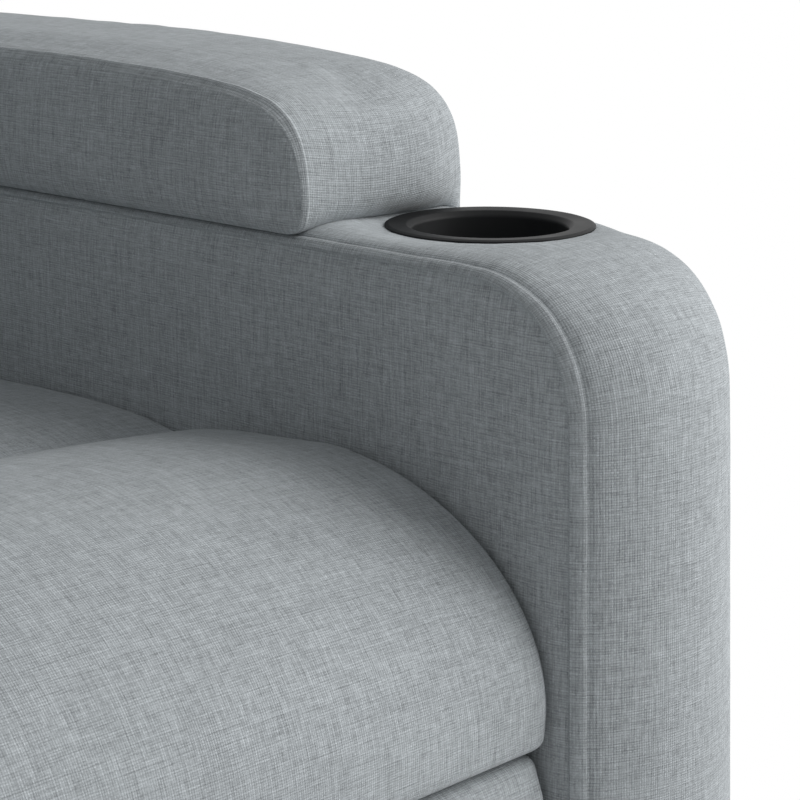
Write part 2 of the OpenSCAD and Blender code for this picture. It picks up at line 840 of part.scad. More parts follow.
module button(k) {
    color(zinc) button_places(k) translate([0, 0, -3.2]) cylinder(h = 3.2 + button_face, r = button_r);
}

base_rail();  // base_rail_left
mirror([1, 0, 0]) base_rail();  // base_rail_right
base_cross(base_front);  // base_cross_front
base_cross(base_back - tube);  // base_cross_rear
base_uprights();
floor_glides();
motor_clevis();
power_supply();
lift_link_front();  // lift_link_front_left
mirror([1, 0, 0]) lift_link_front();  // lift_link_front_right
lift_cross_tube();
lift_crank();
lift_link_rear();  // lift_link_rear_left
mirror([1, 0, 0]) lift_link_rear();  // lift_link_rear_right
lift_motor();
lift_motor_tube();
lift_motor_rod();
side_plate();  // side_plate_left
mirror([1, 0, 0]) side_plate();  // side_plate_right
frame_cross_tubes();
frame_pivot_pins();
seat_frame();
seat_springs();
seat_deck();
seat_cushion();
arm();  // arm_left
mirror([1, 0, 0]) arm();  // arm_right
arm_frame();  // arm_frame_left
mirror([1, 0, 0]) arm_frame();  // arm_frame_right
arm_pad();  // arm_pad_left
mirror([1, 0, 0]) arm_pad();  // arm_pad_right
cup_holder();  // cup_holder_left
mirror([1, 0, 0]) cup_holder();  // cup_holder_right
side_pocket();  // side_pocket_left
mirror([1, 0, 0]) side_pocket();  // side_pocket_right
rear_panel();
back_hinge_brackets();
recline_motor();
recline_motor_rod();
back_frame();
back_shell();
lumbar_cushion();
shoulder_cushion();
head_cushion();
wing();  // wing_left
mirror([1, 0, 0]) wing();  // wing_right
recline_lever();
footrest_board();
footrest_pad();
footrest_brackets();
footrest_torque_tube();
footrest_links_main();
footrest_links_outer();
footrest_links_steer();
footrest_links_guide();
handset();
button(0);  // button_lift
button(1);  // button_lower
button(2);  // button_back_up
button(3);  // button_back_down
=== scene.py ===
# %% [markdown]
# # A lift recliner chair
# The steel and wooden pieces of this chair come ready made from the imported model, which is
# loaded as a fixed frame. This lesson dresses that frame: every cushion, cover and moulding is
# modelled here in the same place, in metres, and every surface gets a procedural finish.

import math
import bmesh
import bpy
from bmesh.types import BMEdge, BMFace, BMVert
from mathutils import Matrix, Vector, noise


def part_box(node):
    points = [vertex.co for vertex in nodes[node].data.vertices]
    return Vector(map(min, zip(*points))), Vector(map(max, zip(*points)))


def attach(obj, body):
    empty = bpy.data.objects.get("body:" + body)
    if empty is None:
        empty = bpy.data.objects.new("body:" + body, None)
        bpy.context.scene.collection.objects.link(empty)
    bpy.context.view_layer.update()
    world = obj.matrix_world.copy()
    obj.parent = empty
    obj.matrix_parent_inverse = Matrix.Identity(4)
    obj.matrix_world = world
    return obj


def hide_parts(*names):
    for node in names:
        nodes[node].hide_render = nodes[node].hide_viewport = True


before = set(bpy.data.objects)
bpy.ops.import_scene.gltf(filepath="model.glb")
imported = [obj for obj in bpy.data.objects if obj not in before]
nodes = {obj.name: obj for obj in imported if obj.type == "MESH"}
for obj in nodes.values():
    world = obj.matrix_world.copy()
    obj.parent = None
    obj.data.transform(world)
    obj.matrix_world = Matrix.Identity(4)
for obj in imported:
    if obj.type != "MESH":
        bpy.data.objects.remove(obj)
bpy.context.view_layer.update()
mm = 0.001
scene = bpy.context.scene

# %% [markdown]
# ## Camera and light
# A close-up takes a long lens, because it keeps straight edges parallel and does not swell what
# is near. The camera stands in front of the chair on the sitter's right, turned 46 degrees, and
# looks a little down on the left armrest.

# %% Camera
camera_place = (-0.5455, -1.1112, 0.800)
camera_turn = 46
camera_drop = 13.8
lens = bpy.data.cameras.new("camera")
lens.lens = 105.75
lens.sensor_width = 36
lens.clip_end = 100
camera = bpy.data.objects.new("camera", lens)
camera.location = camera_place
camera.rotation_euler = (math.radians(90 - camera_drop), 0, math.radians(-camera_turn))
scene.collection.objects.link(camera)
scene.camera = camera
scene.view_settings.view_transform = "Standard"
print("camera at", [round(c, 3) for c in camera.location])

# %% [markdown]
# The light is one broad soft box in front on the sitter's left, a weak one behind, and a pale
# surround. A broad lamp gives the slow change of tone over a round cushion that tells the eye
# it is soft, and the surround keeps the shaded side of the armrest readable.


# %% Lamps and surround
def soft_box(name, place, target, size, power):
    """A square lamp at a place, turned to a target, both in metres."""
    light = bpy.data.lights.new(name, "AREA")
    light.size = size
    light.energy = power
    lamp = bpy.data.objects.new(name, light)
    lamp.location = place
    lamp.rotation_euler = (Vector(target) - Vector(place)).to_track_quat("-Z", "Y").to_euler()
    scene.collection.objects.link(lamp)


def adder(tree):
    """A function that adds a node to this tree, with its inputs and settings in one line."""
    def add(kind, inputs=(), **settings):
        node = tree.nodes.new("ShaderNode" + kind)
        for key, value in settings.items():
            setattr(node, key, value)
        for key, value in dict(inputs).items():
            if isinstance(value, bpy.types.NodeSocket):
                tree.links.new(value, node.inputs[key])
            else:
                node.inputs[key].default_value = value
        return node

    return add


def maths(add, operation, *values):
    """A Math node's output."""
    return add("Math", dict(enumerate(values)), operation=operation).outputs[0]


def sees_the_lens(add):
    """A socket that is 1 for rays from the camera and for mirrored or refracted ones."""
    path = add("LightPath").outputs
    seen = maths(add, "MAXIMUM", path["Is Camera Ray"], path["Is Glossy Ray"])
    return maths(add, "MAXIMUM", seen, path["Is Transmission Ray"])


middle = (0, 0, 0.5)
soft_box("key_box", (2.08, -1.90, 2.10), middle, 2.4, 87)
soft_box("back_box", (-1.2, 3.0, 1.8), middle, 2.0, 30)

world = bpy.data.worlds.new("studio")
world.use_nodes = True
scene.world = world
world.node_tree.nodes.clear()
add = adder(world.node_tree)
surround = 0.325
ambient = add("Background", {"Color": (0.96, 0.98, 1, 1), "Strength": surround}).outputs[0]
backdrop = add("Background", {"Color": (1, 1, 1, 1)}).outputs[0]
either = add("MixShader", {0: sees_the_lens(add), 1: ambient, 2: backdrop})
add("OutputWorld", {0: either.outputs[0]})

# %% [markdown]
# ## Floor
# The floor is a wide pale sheet. Close to the chair it is a real surface that takes the shadow.
# Further out it fades to plain white for the lens alone, so that the chair stands in front of
# nothing and the floor still throws an even light back up.

# %% Floor
bm = bmesh.new()
floor_reach = 20
bmesh.ops.create_grid(bm, x_segments=1, y_segments=1, size=floor_reach)
mesh = bpy.data.meshes.new("floor")
bm.to_mesh(mesh)
bm.free()
floor = bpy.data.objects.new("floor", mesh)
scene.collection.objects.link(floor)

shadow_reach = 0.62
white_from = 0.95
paint = bpy.data.materials.new("floor paint")
paint.use_nodes = True
paint.node_tree.nodes.clear()
add = adder(paint.node_tree)
ground = add("BsdfDiffuse", {"Color": (0.86, 0.86, 0.86, 1)}).outputs[0]
glow = add("Emission").outputs[0]
away = add("VectorMath", {0: add("TexCoord").outputs["Object"]}, operation="LENGTH").outputs["Value"]
fade = add("MapRange", {"Value": away, "From Min": shadow_reach, "From Max": white_from},
           interpolation_type="SMOOTHSTEP").outputs[0]
shown = maths(add, "MULTIPLY", fade, sees_the_lens(add))
either = add("MixShader", {0: shown, 1: ground, 2: glow})
add("OutputMaterial", {0: either.outputs[0]})
mesh.materials.append(paint)
print("floor fades to white between", shadow_reach, "and", white_from, "m")

# %% [markdown]
# ## Finishes
# Every finish is a small tree of nodes round one Principled shader. A helper starts such a
# tree, and another lets its outputs drive the shader, so that each finish reads as a recipe.


# %% A start for every finish
def finish_of(name, colour, roughness, metallic=0, **sockets):
    """A new finish: its tree, its shader and a function that adds a node."""
    material = bpy.data.materials.new(name)
    material.use_nodes = True
    shader = material.node_tree.nodes["Principled BSDF"]
    shader.inputs["Base Color"].default_value = (*colour, 1)
    shader.inputs["Roughness"].default_value = roughness
    shader.inputs["Metallic"].default_value = metallic
    for socket, value in sockets.items():
        shader.inputs[socket.replace("_", " ")].default_value = value
    return material, shader, adder(material.node_tree)


def drive(shader, **outputs):
    """Let outputs of other nodes drive the shader's inputs."""
    for socket, output in outputs.items():
        shader.id_data.links.new(output, shader.inputs[socket.replace("_", " ")])


def linear(level):
    """A colour given in the levels of a screen, as the shader wants it."""
    return tuple((c / 12.92 if c <= 0.04045 else ((c + 0.055) / 1.055) ** 2.4) for c in level)


# %% [markdown]
# ### Linen-look cloth
# The cover is a plain weave of mixed grey yarns, some light and some dark, about one thread to
# a millimetre and a bit. Two noises that are stretched a long way, one up the cloth and one
# across it, are the yarns' tones, and each keeps its tone for a few centimetres before it
# changes. Which yarn lies on top alternates like a chess board, and the same pattern lifts the
# threads in the bump. The rounded crowns of the threads also paint shade into the colour in the
# gaps between threads. It reads a UV map in metres, so that the weave turns with the cloth.

# %% Cloth
THREAD = 1.25 * mm
YARN_RUN = 24 * mm
CONTRAST = 0.42


def cloth_finish(name, level):
    """The weave, in the colour of a level, on the UV map Cloth."""
    material, shader, add = finish_of(name, linear(level), 0.88, Specular_IOR_Level=0.22,
                                      Sheen_Weight=0.10, Sheen_Roughness=0.45)
    split = add("SeparateXYZ", {0: add("UVMap", uv_map="Cloth").outputs[0]})
    across, along = split.outputs[0], split.outputs[1]

    def yarns(a, b, turn, detail):
        """A noise whose spots are a wide and b long; turn picks another one."""
        stretched = add("CombineXYZ", {0: maths(add, "DIVIDE", across, a),
                                       1: maths(add, "DIVIDE", along, b), 2: turn})
        return add("TexNoise", {"Vector": stretched.outputs[0], "Scale": 1.0, "Detail": detail,
                                "Roughness": 0.6}).outputs[0]

    warp = yarns(0.62 * THREAD, 0.34 * YARN_RUN, 0.3, 2)
    weft = yarns(0.34 * YARN_RUN, 0.62 * THREAD, 5.1, 2)
    slub = yarns(1.1 * THREAD, 1.3 * YARN_RUN, 9.7, 3)
    slub_across = yarns(1.3 * YARN_RUN, 1.1 * THREAD, 3.3, 3)
    patch = yarns(3.2 * YARN_RUN, 3.2 * YARN_RUN, 1.7, 2)
    wave_a, wave_b = (maths(add, "SINE", maths(add, "MULTIPLY", way, math.pi / THREAD))
                      for way in (across, along))
    over = maths(add, "MULTIPLY_ADD", maths(add, "MULTIPLY", wave_a, wave_b), 0.5, 0.5)
    on_top = add("Mix", {0: over, 2: warp, 3: weft}).outputs[0]
    crown_a, crown_b = maths(add, "ABSOLUTE", wave_a), maths(add, "ABSOLUTE", wave_b)
    relief = add("Mix", {0: over, 2: crown_a, 3: crown_b}).outputs[0]
    streaks = maths(add, "MULTIPLY_ADD", maths(add, "ADD", slub, slub_across), 0.5, -0.5)
    shade = maths(add, "MULTIPLY", streaks, 1.25)
    # Yarn tones, then the thread crowns: the last two rows paint shade into the gaps between threads
    # and a little light on their crowns.
    for part, mean, weight in ((on_top, 0.5, 1.9), (patch, 0.5, 0.14), (crown_b, 0.64, 0.22),
                               (crown_a, 0.64, 0.10)):
        shade = maths(add, "MULTIPLY_ADD", maths(add, "SUBTRACT", part, mean), weight, shade)
    lightness = maths(add, "MULTIPLY_ADD", shade, 2 * CONTRAST, 1.0)
    tint = add("VectorMath", {0: linear(level), "Scale": lightness}, operation="SCALE")
    relief = maths(add, "MULTIPLY_ADD", on_top, 0.8, relief)
    bump = add("Bump", {"Height": relief, "Strength": 0.6, "Distance": 0.4 * mm})
    drive(shader, Base_Color=tint.outputs[0], Normal=bump.outputs[0])
    return material


cloth = cloth_finish("grey linen-look cloth", (0.655, 0.674, 0.684))
print("cloth:", cloth.name, "with", len(cloth.node_tree.nodes), "nodes")

# %% [markdown]
# ### Hard finishes
# Moulded plastic is dark and slightly pebbled, powder coat has a fine orange peel, zinc shows
# faint brushed patches, and plywood has long grain. Each takes one or two noises on Object
# coordinates, because these pieces stand still in their own frame.


# %% Plastic, steel, zinc, wood and board
def grained(name, colour, roughness, scale, strength, distance, metallic=0, **sockets):
    """A finish with a fine even grain of bumps and a little unevenness in its roughness."""
    material, shader, add = finish_of(name, colour, roughness, metallic, **sockets)
    where = add("TexCoord").outputs["Object"]
    grain = add("TexNoise", {"Vector": where, "Scale": scale, "Detail": 3}).outputs[0]
    clouds = add("TexNoise", {"Vector": where, "Scale": scale / 30, "Detail": 2}).outputs[0]
    worn = add("MapRange", {"Value": clouds, "To Min": roughness * 0.8, "To Max": roughness * 1.2})
    tone = add("MapRange", {"Value": clouds, "To Min": 0.86, "To Max": 1.14})
    tint = add("VectorMath", {0: colour, "Scale": tone.outputs[0]}, operation="SCALE")
    bump = add("Bump", {"Height": grain, "Strength": strength, "Distance": distance})
    drive(shader, Roughness=worn.outputs[0], Base_Color=tint.outputs[0], Normal=bump.outputs[0])
    return material


def wooden(name, pale, dark, stretch):
    """Wood whose grain runs along the axis with the least stretch."""
    material, shader, add = finish_of(name, pale, 0.62)
    where = add("TexCoord").outputs["Object"]
    turned = add("Mapping", {"Vector": where, "Scale": stretch}).outputs[0]
    grain = add("TexNoise", {"Vector": turned, "Scale": 1, "Detail": 5, "Roughness": 0.62}).outputs[0]
    ramp = add("MapRange", {"Value": grain, "From Min": 0.3, "From Max": 0.7}).outputs[0]
    mix = add("Mix", {0: ramp, 6: (*pale, 1), 7: (*dark, 1)}, data_type="RGBA")
    bump = add("Bump", {"Height": grain, "Strength": 0.3, "Distance": 0.3 * mm})
    drive(shader, Base_Color=mix.outputs[2], Normal=bump.outputs[0])
    return material


finishes = {
    "satin_plastic": grained("satin black plastic", (0.011, 0.0115, 0.012), 0.5, 1400, 0.12,
                             0.1 * mm, Specular_IOR_Level=0.10),
    "matt_plastic": grained("matt black plastic", (0.016, 0.016, 0.018), 0.55, 900, 0.35, 0.2 * mm),
    "powder_coat": grained("black powder coat", (0.020, 0.020, 0.021), 0.42, 520, 0.3, 0.25 * mm),
    "zinc": grained("zinc plate", (0.60, 0.61, 0.63), 0.33, 300, 0.15, 0.1 * mm, metallic=1),
    "rubber": grained("black rubber", (0.022, 0.022, 0.023), 0.8, 700, 0.3, 0.2 * mm),
    "keys": grained("pale grey keys", (0.42, 0.43, 0.45), 0.5, 900, 0.15, 0.1 * mm),
    "board": grained("pressed board", (0.36, 0.25, 0.15), 0.8, 500, 0.6, 0.4 * mm),
    "plywood": wooden("plywood", (0.50, 0.35, 0.20), (0.36, 0.23, 0.12), (6, 60, 160)),
    "wood_rail": wooden("pine rails", (0.58, 0.42, 0.25), (0.44, 0.29, 0.15), (60, 60, 5)),
}
print("finishes:", sorted(finishes))

# %% [markdown]
# ### Finishes on the ready-made pieces
# The steelwork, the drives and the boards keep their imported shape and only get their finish.


# %% Dress the ready-made pieces
def dress(finish, *names):
    """Give ready-made pieces a finish."""
    for name in names:
        nodes[name].data.materials.clear()
        nodes[name].data.materials.append(finishes[finish])


dress("powder_coat", "base_cross_front", "base_cross_rear", "base_uprights", "motor_clevis",
      "lift_cross_tube", "lift_crank", "frame_cross_tubes", "back_hinge_brackets", "recline_lever",
      "footrest_brackets", "footrest_torque_tube",
      *("footrest_links_" + link for link in ("main", "outer", "steer", "guide")),
      *(name + side for name in ("base_rail", "lift_link_front", "lift_link_rear", "side_plate")
        for side in ("_left", "_right")))
dress("zinc", "frame_pivot_pins", "lift_motor_tube", "lift_motor_rod", "recline_motor_rod",
      "seat_springs")
dress("matt_plastic", "lift_motor", "recline_motor", "power_supply")
dress("rubber", "floor_glides")
dress("board", "seat_deck")
dress("plywood", "footrest_board", "arm_frame_left", "arm_frame_right")
dress("wood_rail", "seat_frame", "back_frame")
print("pieces that keep their shape:", sum(1 for n in nodes.values() if n.data.materials))

# %% [markdown]
# ## How a cushion is made here
# An upholsterer cuts a long band of cloth, bends it round the foam and sews a flat panel to
# each side. The same order works for a mesh. A closed outline is drawn once, pulled along the
# cushion from station to station with an edge extrusion, and closed by a panel at each end.
# Each station may draw the outline in, which rounds the ends, or lift it a little, which makes
# a seam. Every vertex remembers how far along and across the cloth it is, and that becomes the
# UV map of the weave.


# %% Outlines
def resample(points, count):
    """count points, evenly spaced along a polyline, both its ends among them."""
    line = [Vector(p) for p in points]
    run = [0]
    for a, b in zip(line, line[1:]):
        run.append(run[-1] + (b - a).length)
    out = []
    k = 0
    for i in range(count):
        goal = run[-1] * i / (count - 1)
        while k < len(line) - 2 and run[k + 1] < goal:
            k += 1
        share = (goal - run[k]) / max(run[k + 1] - run[k], 1e-9)
        out.append(line[k].lerp(line[k + 1], min(max(share, 0), 1)))
    return out


def closed_outline(*sections):
    """One closed ring through sections, each a line and the number of points it gets."""
    ring = []
    for line, count in sections:
        ring += resample(line, count + 1)[:-1]
    return ring


def corner(centre, a, b, start, end, power=2, count=24):
    """A quarter or more of a superellipse with half axes a and b; angles in degrees."""
    points = []
    for i in range(count + 1):
        angle = math.radians(start + (end - start) * i / count)
        c, s = math.cos(angle), math.sin(angle)
        points.append((centre[0] + a * math.copysign(abs(c) ** (2 / power), c),
                       centre[1] + b * math.copysign(abs(s) ** (2 / power), s)))
    return points


def through(points, fine=12):
    """A smooth line through a few points."""
    pts = [Vector(p) for p in points]
    pts = [2 * pts[0] - pts[1]] + pts + [2 * pts[-1] - pts[-2]]
    out = []
    for p0, p1, p2, p3 in zip(pts, pts[1:], pts[2:], pts[3:]):
        for i in range(fine):
            t = i / fine
            out.append(0.5 * (2 * p1 + (p2 - p0) * t + (2 * p0 - 5 * p1 + 4 * p2 - p3) * t * t
                              + (3 * p1 - p0 - 3 * p2 + p3) * t ** 3))
    return out + [pts[-2]]


def drawn(radius, depth):
    """How far an edge of that radius has drawn in at a depth before its end."""
    if depth >= radius:
        return 0
    return radius - math.sqrt(max(0, radius ** 2 - (radius - depth) ** 2))


def swell(x, half):
    """1 in the middle of a cushion and 0 at both its ends."""
    return max(0, 1 - abs(x / half) ** 2.4)


def eased(share):
    """A share from 0 to 1 with a soft start and a soft end."""
    return share * share * (3 - 2 * share)


def within(value, low=0, high=1):
    """The value, held between two limits."""
    return min(max(value, low), high)


# %% Extrude an outline from station to station
def only(kind, geom):
    """The vertices, edges or faces among an operator's results."""
    return [g for g in geom if isinstance(g, kind)]


def pull(rings, spacing, panels=(1, 1)):
    """A bmesh skin through closed rings of equally many points, closed at both ends.

    panels says how many rings at each end lie in the end panel."""
    bm = bmesh.new()
    along = bm.verts.layers.float.new("along")
    across = bm.verts.layers.float.new("across")
    panel = bm.verts.layers.int.new("panel")
    count = len(rings[0])
    ring = [bm.verts.new(p) for p in rings[0]]
    edges = [bm.edges.new((ring[i], ring[(i + 1) % count])) for i in range(count)]
    loops = [ring]
    for points in rings[1:]:
        fresh = bmesh.ops.extrude_edge_only(bm, edges=edges)["geom"]
        new = set(only(BMVert, fresh))
        ring = [next(e.other_vert(v) for e in v.link_edges if e.other_vert(v) in new) for v in ring]
        for v, p in zip(ring, points):
            v.co = p
        edges = [bm.edges.get((ring[i], ring[(i + 1) % count])) for i in range(count)]
        loops.append(ring)
    middle = rings[len(rings) // 2]
    run = [0]
    for i in range(count):
        run.append(run[-1] + (Vector(middle[(i + 1) % count]) - Vector(middle[i])).length)
    for number, (ring, x) in enumerate(zip(loops, spacing)):
        flat = number < panels[0] or number >= len(loops) - panels[1]
        for v, s in zip(ring, run):
            v[along], v[across], v[panel] = s, x, flat
    ends = [bm.faces.new(loops[0][::-1]), bm.faces.new(loops[-1])]
    return bm, ends, run[-1]


def flat_axes(face):
    """The two axes that a face mostly lies along."""
    upright = max(range(3), key=lambda k: abs(face.normal[k]))
    return [k for k in range(3) if k != upright]


def cut_across(bm, faces, axis, at):
    """Cut faces where an axis passes a value; gives all their parts."""
    co, no = Vector((0, 0, 0)), Vector((0, 0, 0))
    co[axis], no[axis] = at, 1
    geom = {*faces, *(e for f in faces for e in f.edges), *(v for f in faces for v in f.verts)}
    cut = bmesh.ops.bisect_plane(bm, geom=list(geom), plane_co=co, plane_no=no, dist=1e-6)
    return only(BMFace, cut["geom"])


def into_cells(bm, face, cell):
    """Cut a flat face into a grid of cells, so that it can bend."""
    face.normal_update()
    parts = [face]
    for axis in flat_axes(face):
        low = min(v.co[axis] for f in parts for v in f.verts)
        high = max(v.co[axis] for f in parts for v in f.verts)
        count = max(1, round((high - low) / cell))
        for i in range(1, count):
            parts = cut_across(bm, parts, axis, low + (high - low) * i / count)


print("outline helpers ready")

# %% [markdown]
# A finished skin becomes a piece: its normals are made to point outwards, the weave's UV map is
# laid from the remembered lengths, or straight from the place on an end panel, and a
# subdivision rounds what the steps left.


# %% From skin to piece
def lay_cloth(bm, girth, turn=False):
    """UVs in metres from the remembered lengths; an end panel takes its own two directions."""
    along = bm.verts.layers.float["along"]
    across = bm.verts.layers.float["across"]
    panel = bm.verts.layers.int["panel"]
    uv = bm.loops.layers.uv.new("Cloth")
    for face in bm.faces:
        a, b = flat_axes(face)
        lengths = [loop.vert[along] for loop in face.loops]
        wraps = max(lengths) - min(lengths) > girth / 2
        flat = all(v[panel] for v in face.verts)
        for loop, length in zip(face.loops, lengths):
            if flat:
                loop[uv].uv = (loop.vert.co[a], loop.vert.co[b])
            else:
                length += girth if wraps and length < girth / 2 else 0
                loop[uv].uv = (length, loop.vert[across]) if turn else (loop.vert[across], length)


def piece_of(name, bm, finish):
    """A new object from a bmesh, with its normals outwards."""
    bmesh.ops.recalc_face_normals(bm, faces=bm.faces)
    mesh = bpy.data.meshes.new(name)
    bm.to_mesh(mesh)
    bm.free()
    mesh.materials.append(finish)
    for polygon in mesh.polygons:
        polygon.use_smooth = True
    piece = bpy.data.objects.new(name, mesh)
    scene.collection.objects.link(piece)
    corners = [v.co for v in mesh.vertices]
    size = [max(c[k] for c in corners) - min(c[k] for c in corners) for k in range(3)]
    print(name, "is", [round(length, 3) for length in size], "m with", len(corners), "vertices")
    return piece


def rounder(piece):
    """A live subdivision, the same in the view and in the render."""
    modifier = piece.modifiers.new("rounder", "SUBSURF")
    modifier.levels = modifier.render_levels = 1


def belongs(piece, body, slot, *replaced, fill=None):
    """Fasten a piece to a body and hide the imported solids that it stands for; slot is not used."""
    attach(piece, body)
    if replaced:
        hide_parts(*replaced)


def mirrored(piece, name):
    """The same piece on the other side of the chair."""
    mesh = piece.data.copy()
    mesh.transform(Matrix.Scale(-1, 4, (1, 0, 0)))
    mesh.flip_normals()
    twin = bpy.data.objects.new(name, mesh)
    scene.collection.objects.link(twin)
    if piece.modifiers:
        rounder(twin)
    return twin


def on_both_sides(left, body, slot, replaced, fill=None):
    """Mirror a left piece and fasten both; the names of all of them end in their side."""
    right = mirrored(left, left.name.replace("left", "right"))
    for side, piece in (("_left", left), ("_right", right)):
        belongs(piece, body, slot, replaced + side, fill=fill)


print("piece helpers ready")

# %% [markdown]
# ### Air in the cushions
# Foam under a cover pushes it out as far as the seams let it. A cloth simulation with a little
# air pressure does the same to the mesh: the seams are pinned, the rest swells and pulls
# itself smooth. Each vertex may only move a short way, so that the cushion stays in its place.


# %% Let air into a cushion
AIR_PRESSURE = 4
AIR_FRAMES = 20


def plump(piece, pinned, cap):
    """Swell a piece by cloth simulation, with pinned(co) saying where the seams hold it."""
    rest = [v.co.copy() for v in piece.data.vertices]
    seams = piece.vertex_groups.new(name="seams")
    seams.add([i for i, co in enumerate(rest) if pinned(co)], 1, "REPLACE")
    modifier = piece.modifiers.new("air", "CLOTH")
    for key, value in dict(quality=5, mass=0.15, tension_stiffness=25, compression_stiffness=12,
                           shear_stiffness=8, bending_stiffness=1.5, vertex_group_mass="seams",
                           use_pressure=True, uniform_pressure_force=AIR_PRESSURE).items():
        setattr(modifier.settings, key, value)
    modifier.settings.effector_weights.gravity = 0
    modifier.point_cache.frame_end = AIR_FRAMES
    for number in range(1, AIR_FRAMES + 1):
        scene.frame_set(number)
    swollen = piece.evaluated_get(bpy.context.evaluated_depsgraph_get()).to_mesh()
    most = 0
    for vertex, start, end in zip(piece.data.vertices, rest, swollen.vertices):
        step = end.co - start
        if step.length > cap:
            step *= cap / step.length
        most = max(most, step.length)
        vertex.co = start + step
    piece.modifiers.remove(modifier)
    piece.vertex_groups.remove(seams)
    scene.frame_set(1)
    print(f"{piece.name}: air moved it {most / mm:.1f} mm at most")


print("air pressure is", "on")

# %% [markdown]
# ## Seat cushion
# The seat is one long cushion with a fat roll at its front. A sewn channel crosses it where the
# roll ends and the sitting part begins. Its outline is an ellipse at the front, the dip of the
# channel, and a flatter stretch to the rear. It is drawn in at both ends, where it meets the
# arms, and swells a little in the middle.

# %% Seat cushion
seat_low, seat_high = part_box("seat_cushion")
deck_top = seat_low.z
seat_top = 500 * mm
seat_crown = 14 * mm
roll_reach = 145 * mm
roll_centre = Vector((seat_low.y + roll_reach, deck_top + 15 * mm))
channel_y = -186 * mm
seat_back_y = seat_high.y


# Behind the channel, below the top and the share of the crown, along the top of the seat
dip_rows = ((-80, 3, 1), (-54, 5, 1), (-38, 6.8, 0.95), (-22, 9.1, 0.85), (-10, 12, 0.75),
            (0, 15.8, 0.66), (7, 15.2, 0.68), (21, 12.7, 0.72), (36, 11, 0.76), (70, 9.6, 0.8),
            (114, 10.2, 0.8), (161, 12.1, 0.8), (206, 14, 0.7))


def seat_outline(crown):
    rise = seat_top - roll_centre.y + crown
    front = corner(roll_centre, roll_reach, rise, 180, 92)
    under = [(seat_low.y + 22 * mm, deck_top), (seat_low.y + 14 * mm, deck_top - 3.5 * mm),
             (seat_low.y + 6 * mm, deck_top - 4.2 * mm), (seat_low.y + 1 * mm, deck_top - 1 * mm)]
    dip = through([front[-1]] + [(channel_y + run * mm, seat_top - low * mm + part * crown)
                                 for run, low, part in dip_rows])
    rear_round = 36 * mm
    rear = corner((seat_back_y - rear_round, seat_top - 54 * mm + 0.5 * crown), rear_round,
                  rear_round, 84, 0)
    base = [(seat_back_y, deck_top + 10 * mm), (seat_back_y - 8 * mm, deck_top)]
    return closed_outline((under + front[:1], 8), (front, 54), (dip, 66), (rear, 8),
                          (rear[-1:] + base, 16),
                          ([base[-1], (-100 * mm, deck_top), under[0]], 70))


# %% From one side of the chair to the other
def squeezed(ring, centre, draw_y, draw_z, half_y, half_z):
    """An outline drawn towards its centre, as its covers round off at an end."""
    return [Vector((centre.x + (p.x - centre.x) * (1 - draw_y / half_y),
                    centre.y + (p.y - centre.y) * (1 - draw_z / half_z))) for p in ring]


def stations(low, high, edge, cell):
    """Places along a cushion, closer together where its ends round off."""
    bend = max(3, round(edge * 1.3 / cell))
    ends = [edge * (1 - math.cos(math.pi / 2 * i / bend)) for i in range(bend)]
    count = max(1, round((high - low - 2 * edge) / cell))
    inner = [low + edge + (high - low - 2 * edge) * i / count for i in range(count + 1)]
    return [low + e for e in ends] + inner + [high - e for e in reversed(ends)]


def lengths_across(rings):
    """How far across the cloth each ring lies, measured over the surface."""
    total = [0]
    for before, after in zip(rings, rings[1:]):
        gap = sum((Vector(a) - Vector(b)).length for a, b in zip(before, after)) / len(before)
        total.append(total[-1] + gap)
    return total


def closed_skin(rings, cell, panels=(1, 1)):
    """A skin through rings, with its end faces cut into cells."""
    bm, ends, girth = pull(rings, lengths_across(rings), panels)
    for face in ends:
        into_cells(bm, face, cell)
    return bm, girth


def cross_pull(xs, outline, centre, cell, first_panel=(), last_panel=()):
    """A skin along X through outline(x), each a list of (y, z), with a panel at each end.

    A panel's rows say, in millimetres, how far in from its seam a ring lies and how far it
    stands out there."""
    rings = [[(x, p[0], p[1]) for p in outline(x)] for x in xs]
    for rows, end, way in ((first_panel, 0, -1), (last_panel, -1, 1)):
        seam = [Vector(p[1:]) for p in rings[end]]
        half_y = max(abs(p.x - centre.x) for p in seam)
        half_z = max(abs(p.y - centre.y) for p in seam)
        for inset, rise in rows:
            ring = squeezed(seam, centre, inset * mm, inset * mm, half_y, half_z)
            points = [(xs[end] + way * rise * mm, p.x, p.y) for p in ring]
            rings.insert(0 if end == 0 else len(rings), points)
    return closed_skin(rings, cell, (len(first_panel) + 1, len(last_panel) + 1))


def upright_pull(zs, outline, cell):
    """A skin up Z through outline(z), each a list of (x, y)."""
    return closed_skin([[(p[0], p[1], z) for p in outline(z)] for z in zs], cell)


cell = 6 * mm


def cushion(name, half, edge, ring_at, centre):
    """A cover from one side of the chair to the other, with its cloth laid."""
    bm, girth = cross_pull(stations(-half, half, edge, cell), ring_at, centre, 2 * cell)
    lay_cloth(bm, girth)
    return piece_of(name, bm, cloth)


print("cells are", round(cell / mm), "mm wide")

# %% Cover of the seat
seat_edge = 7 * mm
seat_cover = 3.5 * mm
seat_half = seat_high.x
seat_middle = Vector(((seat_low.y + seat_back_y) / 2, (deck_top + seat_top) / 2))


def seat_ring(x):
    crown = seat_crown * swell(x, seat_half)
    inset = drawn(seat_edge, seat_half - abs(x))
    return squeezed(seat_outline(crown), seat_middle, inset - seat_cover, 0.7 * inset,
                    (seat_back_y - seat_low.y) / 2, (seat_top - deck_top) / 2)


seat = cushion("seat_cushion_cover", seat_half, seat_edge, seat_ring, seat_middle)


def seat_pinned(co):
    return (co.z < deck_top + 12 * mm or abs(co.y - channel_y) < 6 * mm
            or abs(co.x) > seat_half - 12 * mm)


plump(seat, seat_pinned, 5 * mm)
rounder(seat)
belongs(seat, "chair", "upholstery_fabric", "seat_cushion", fill=0.75)

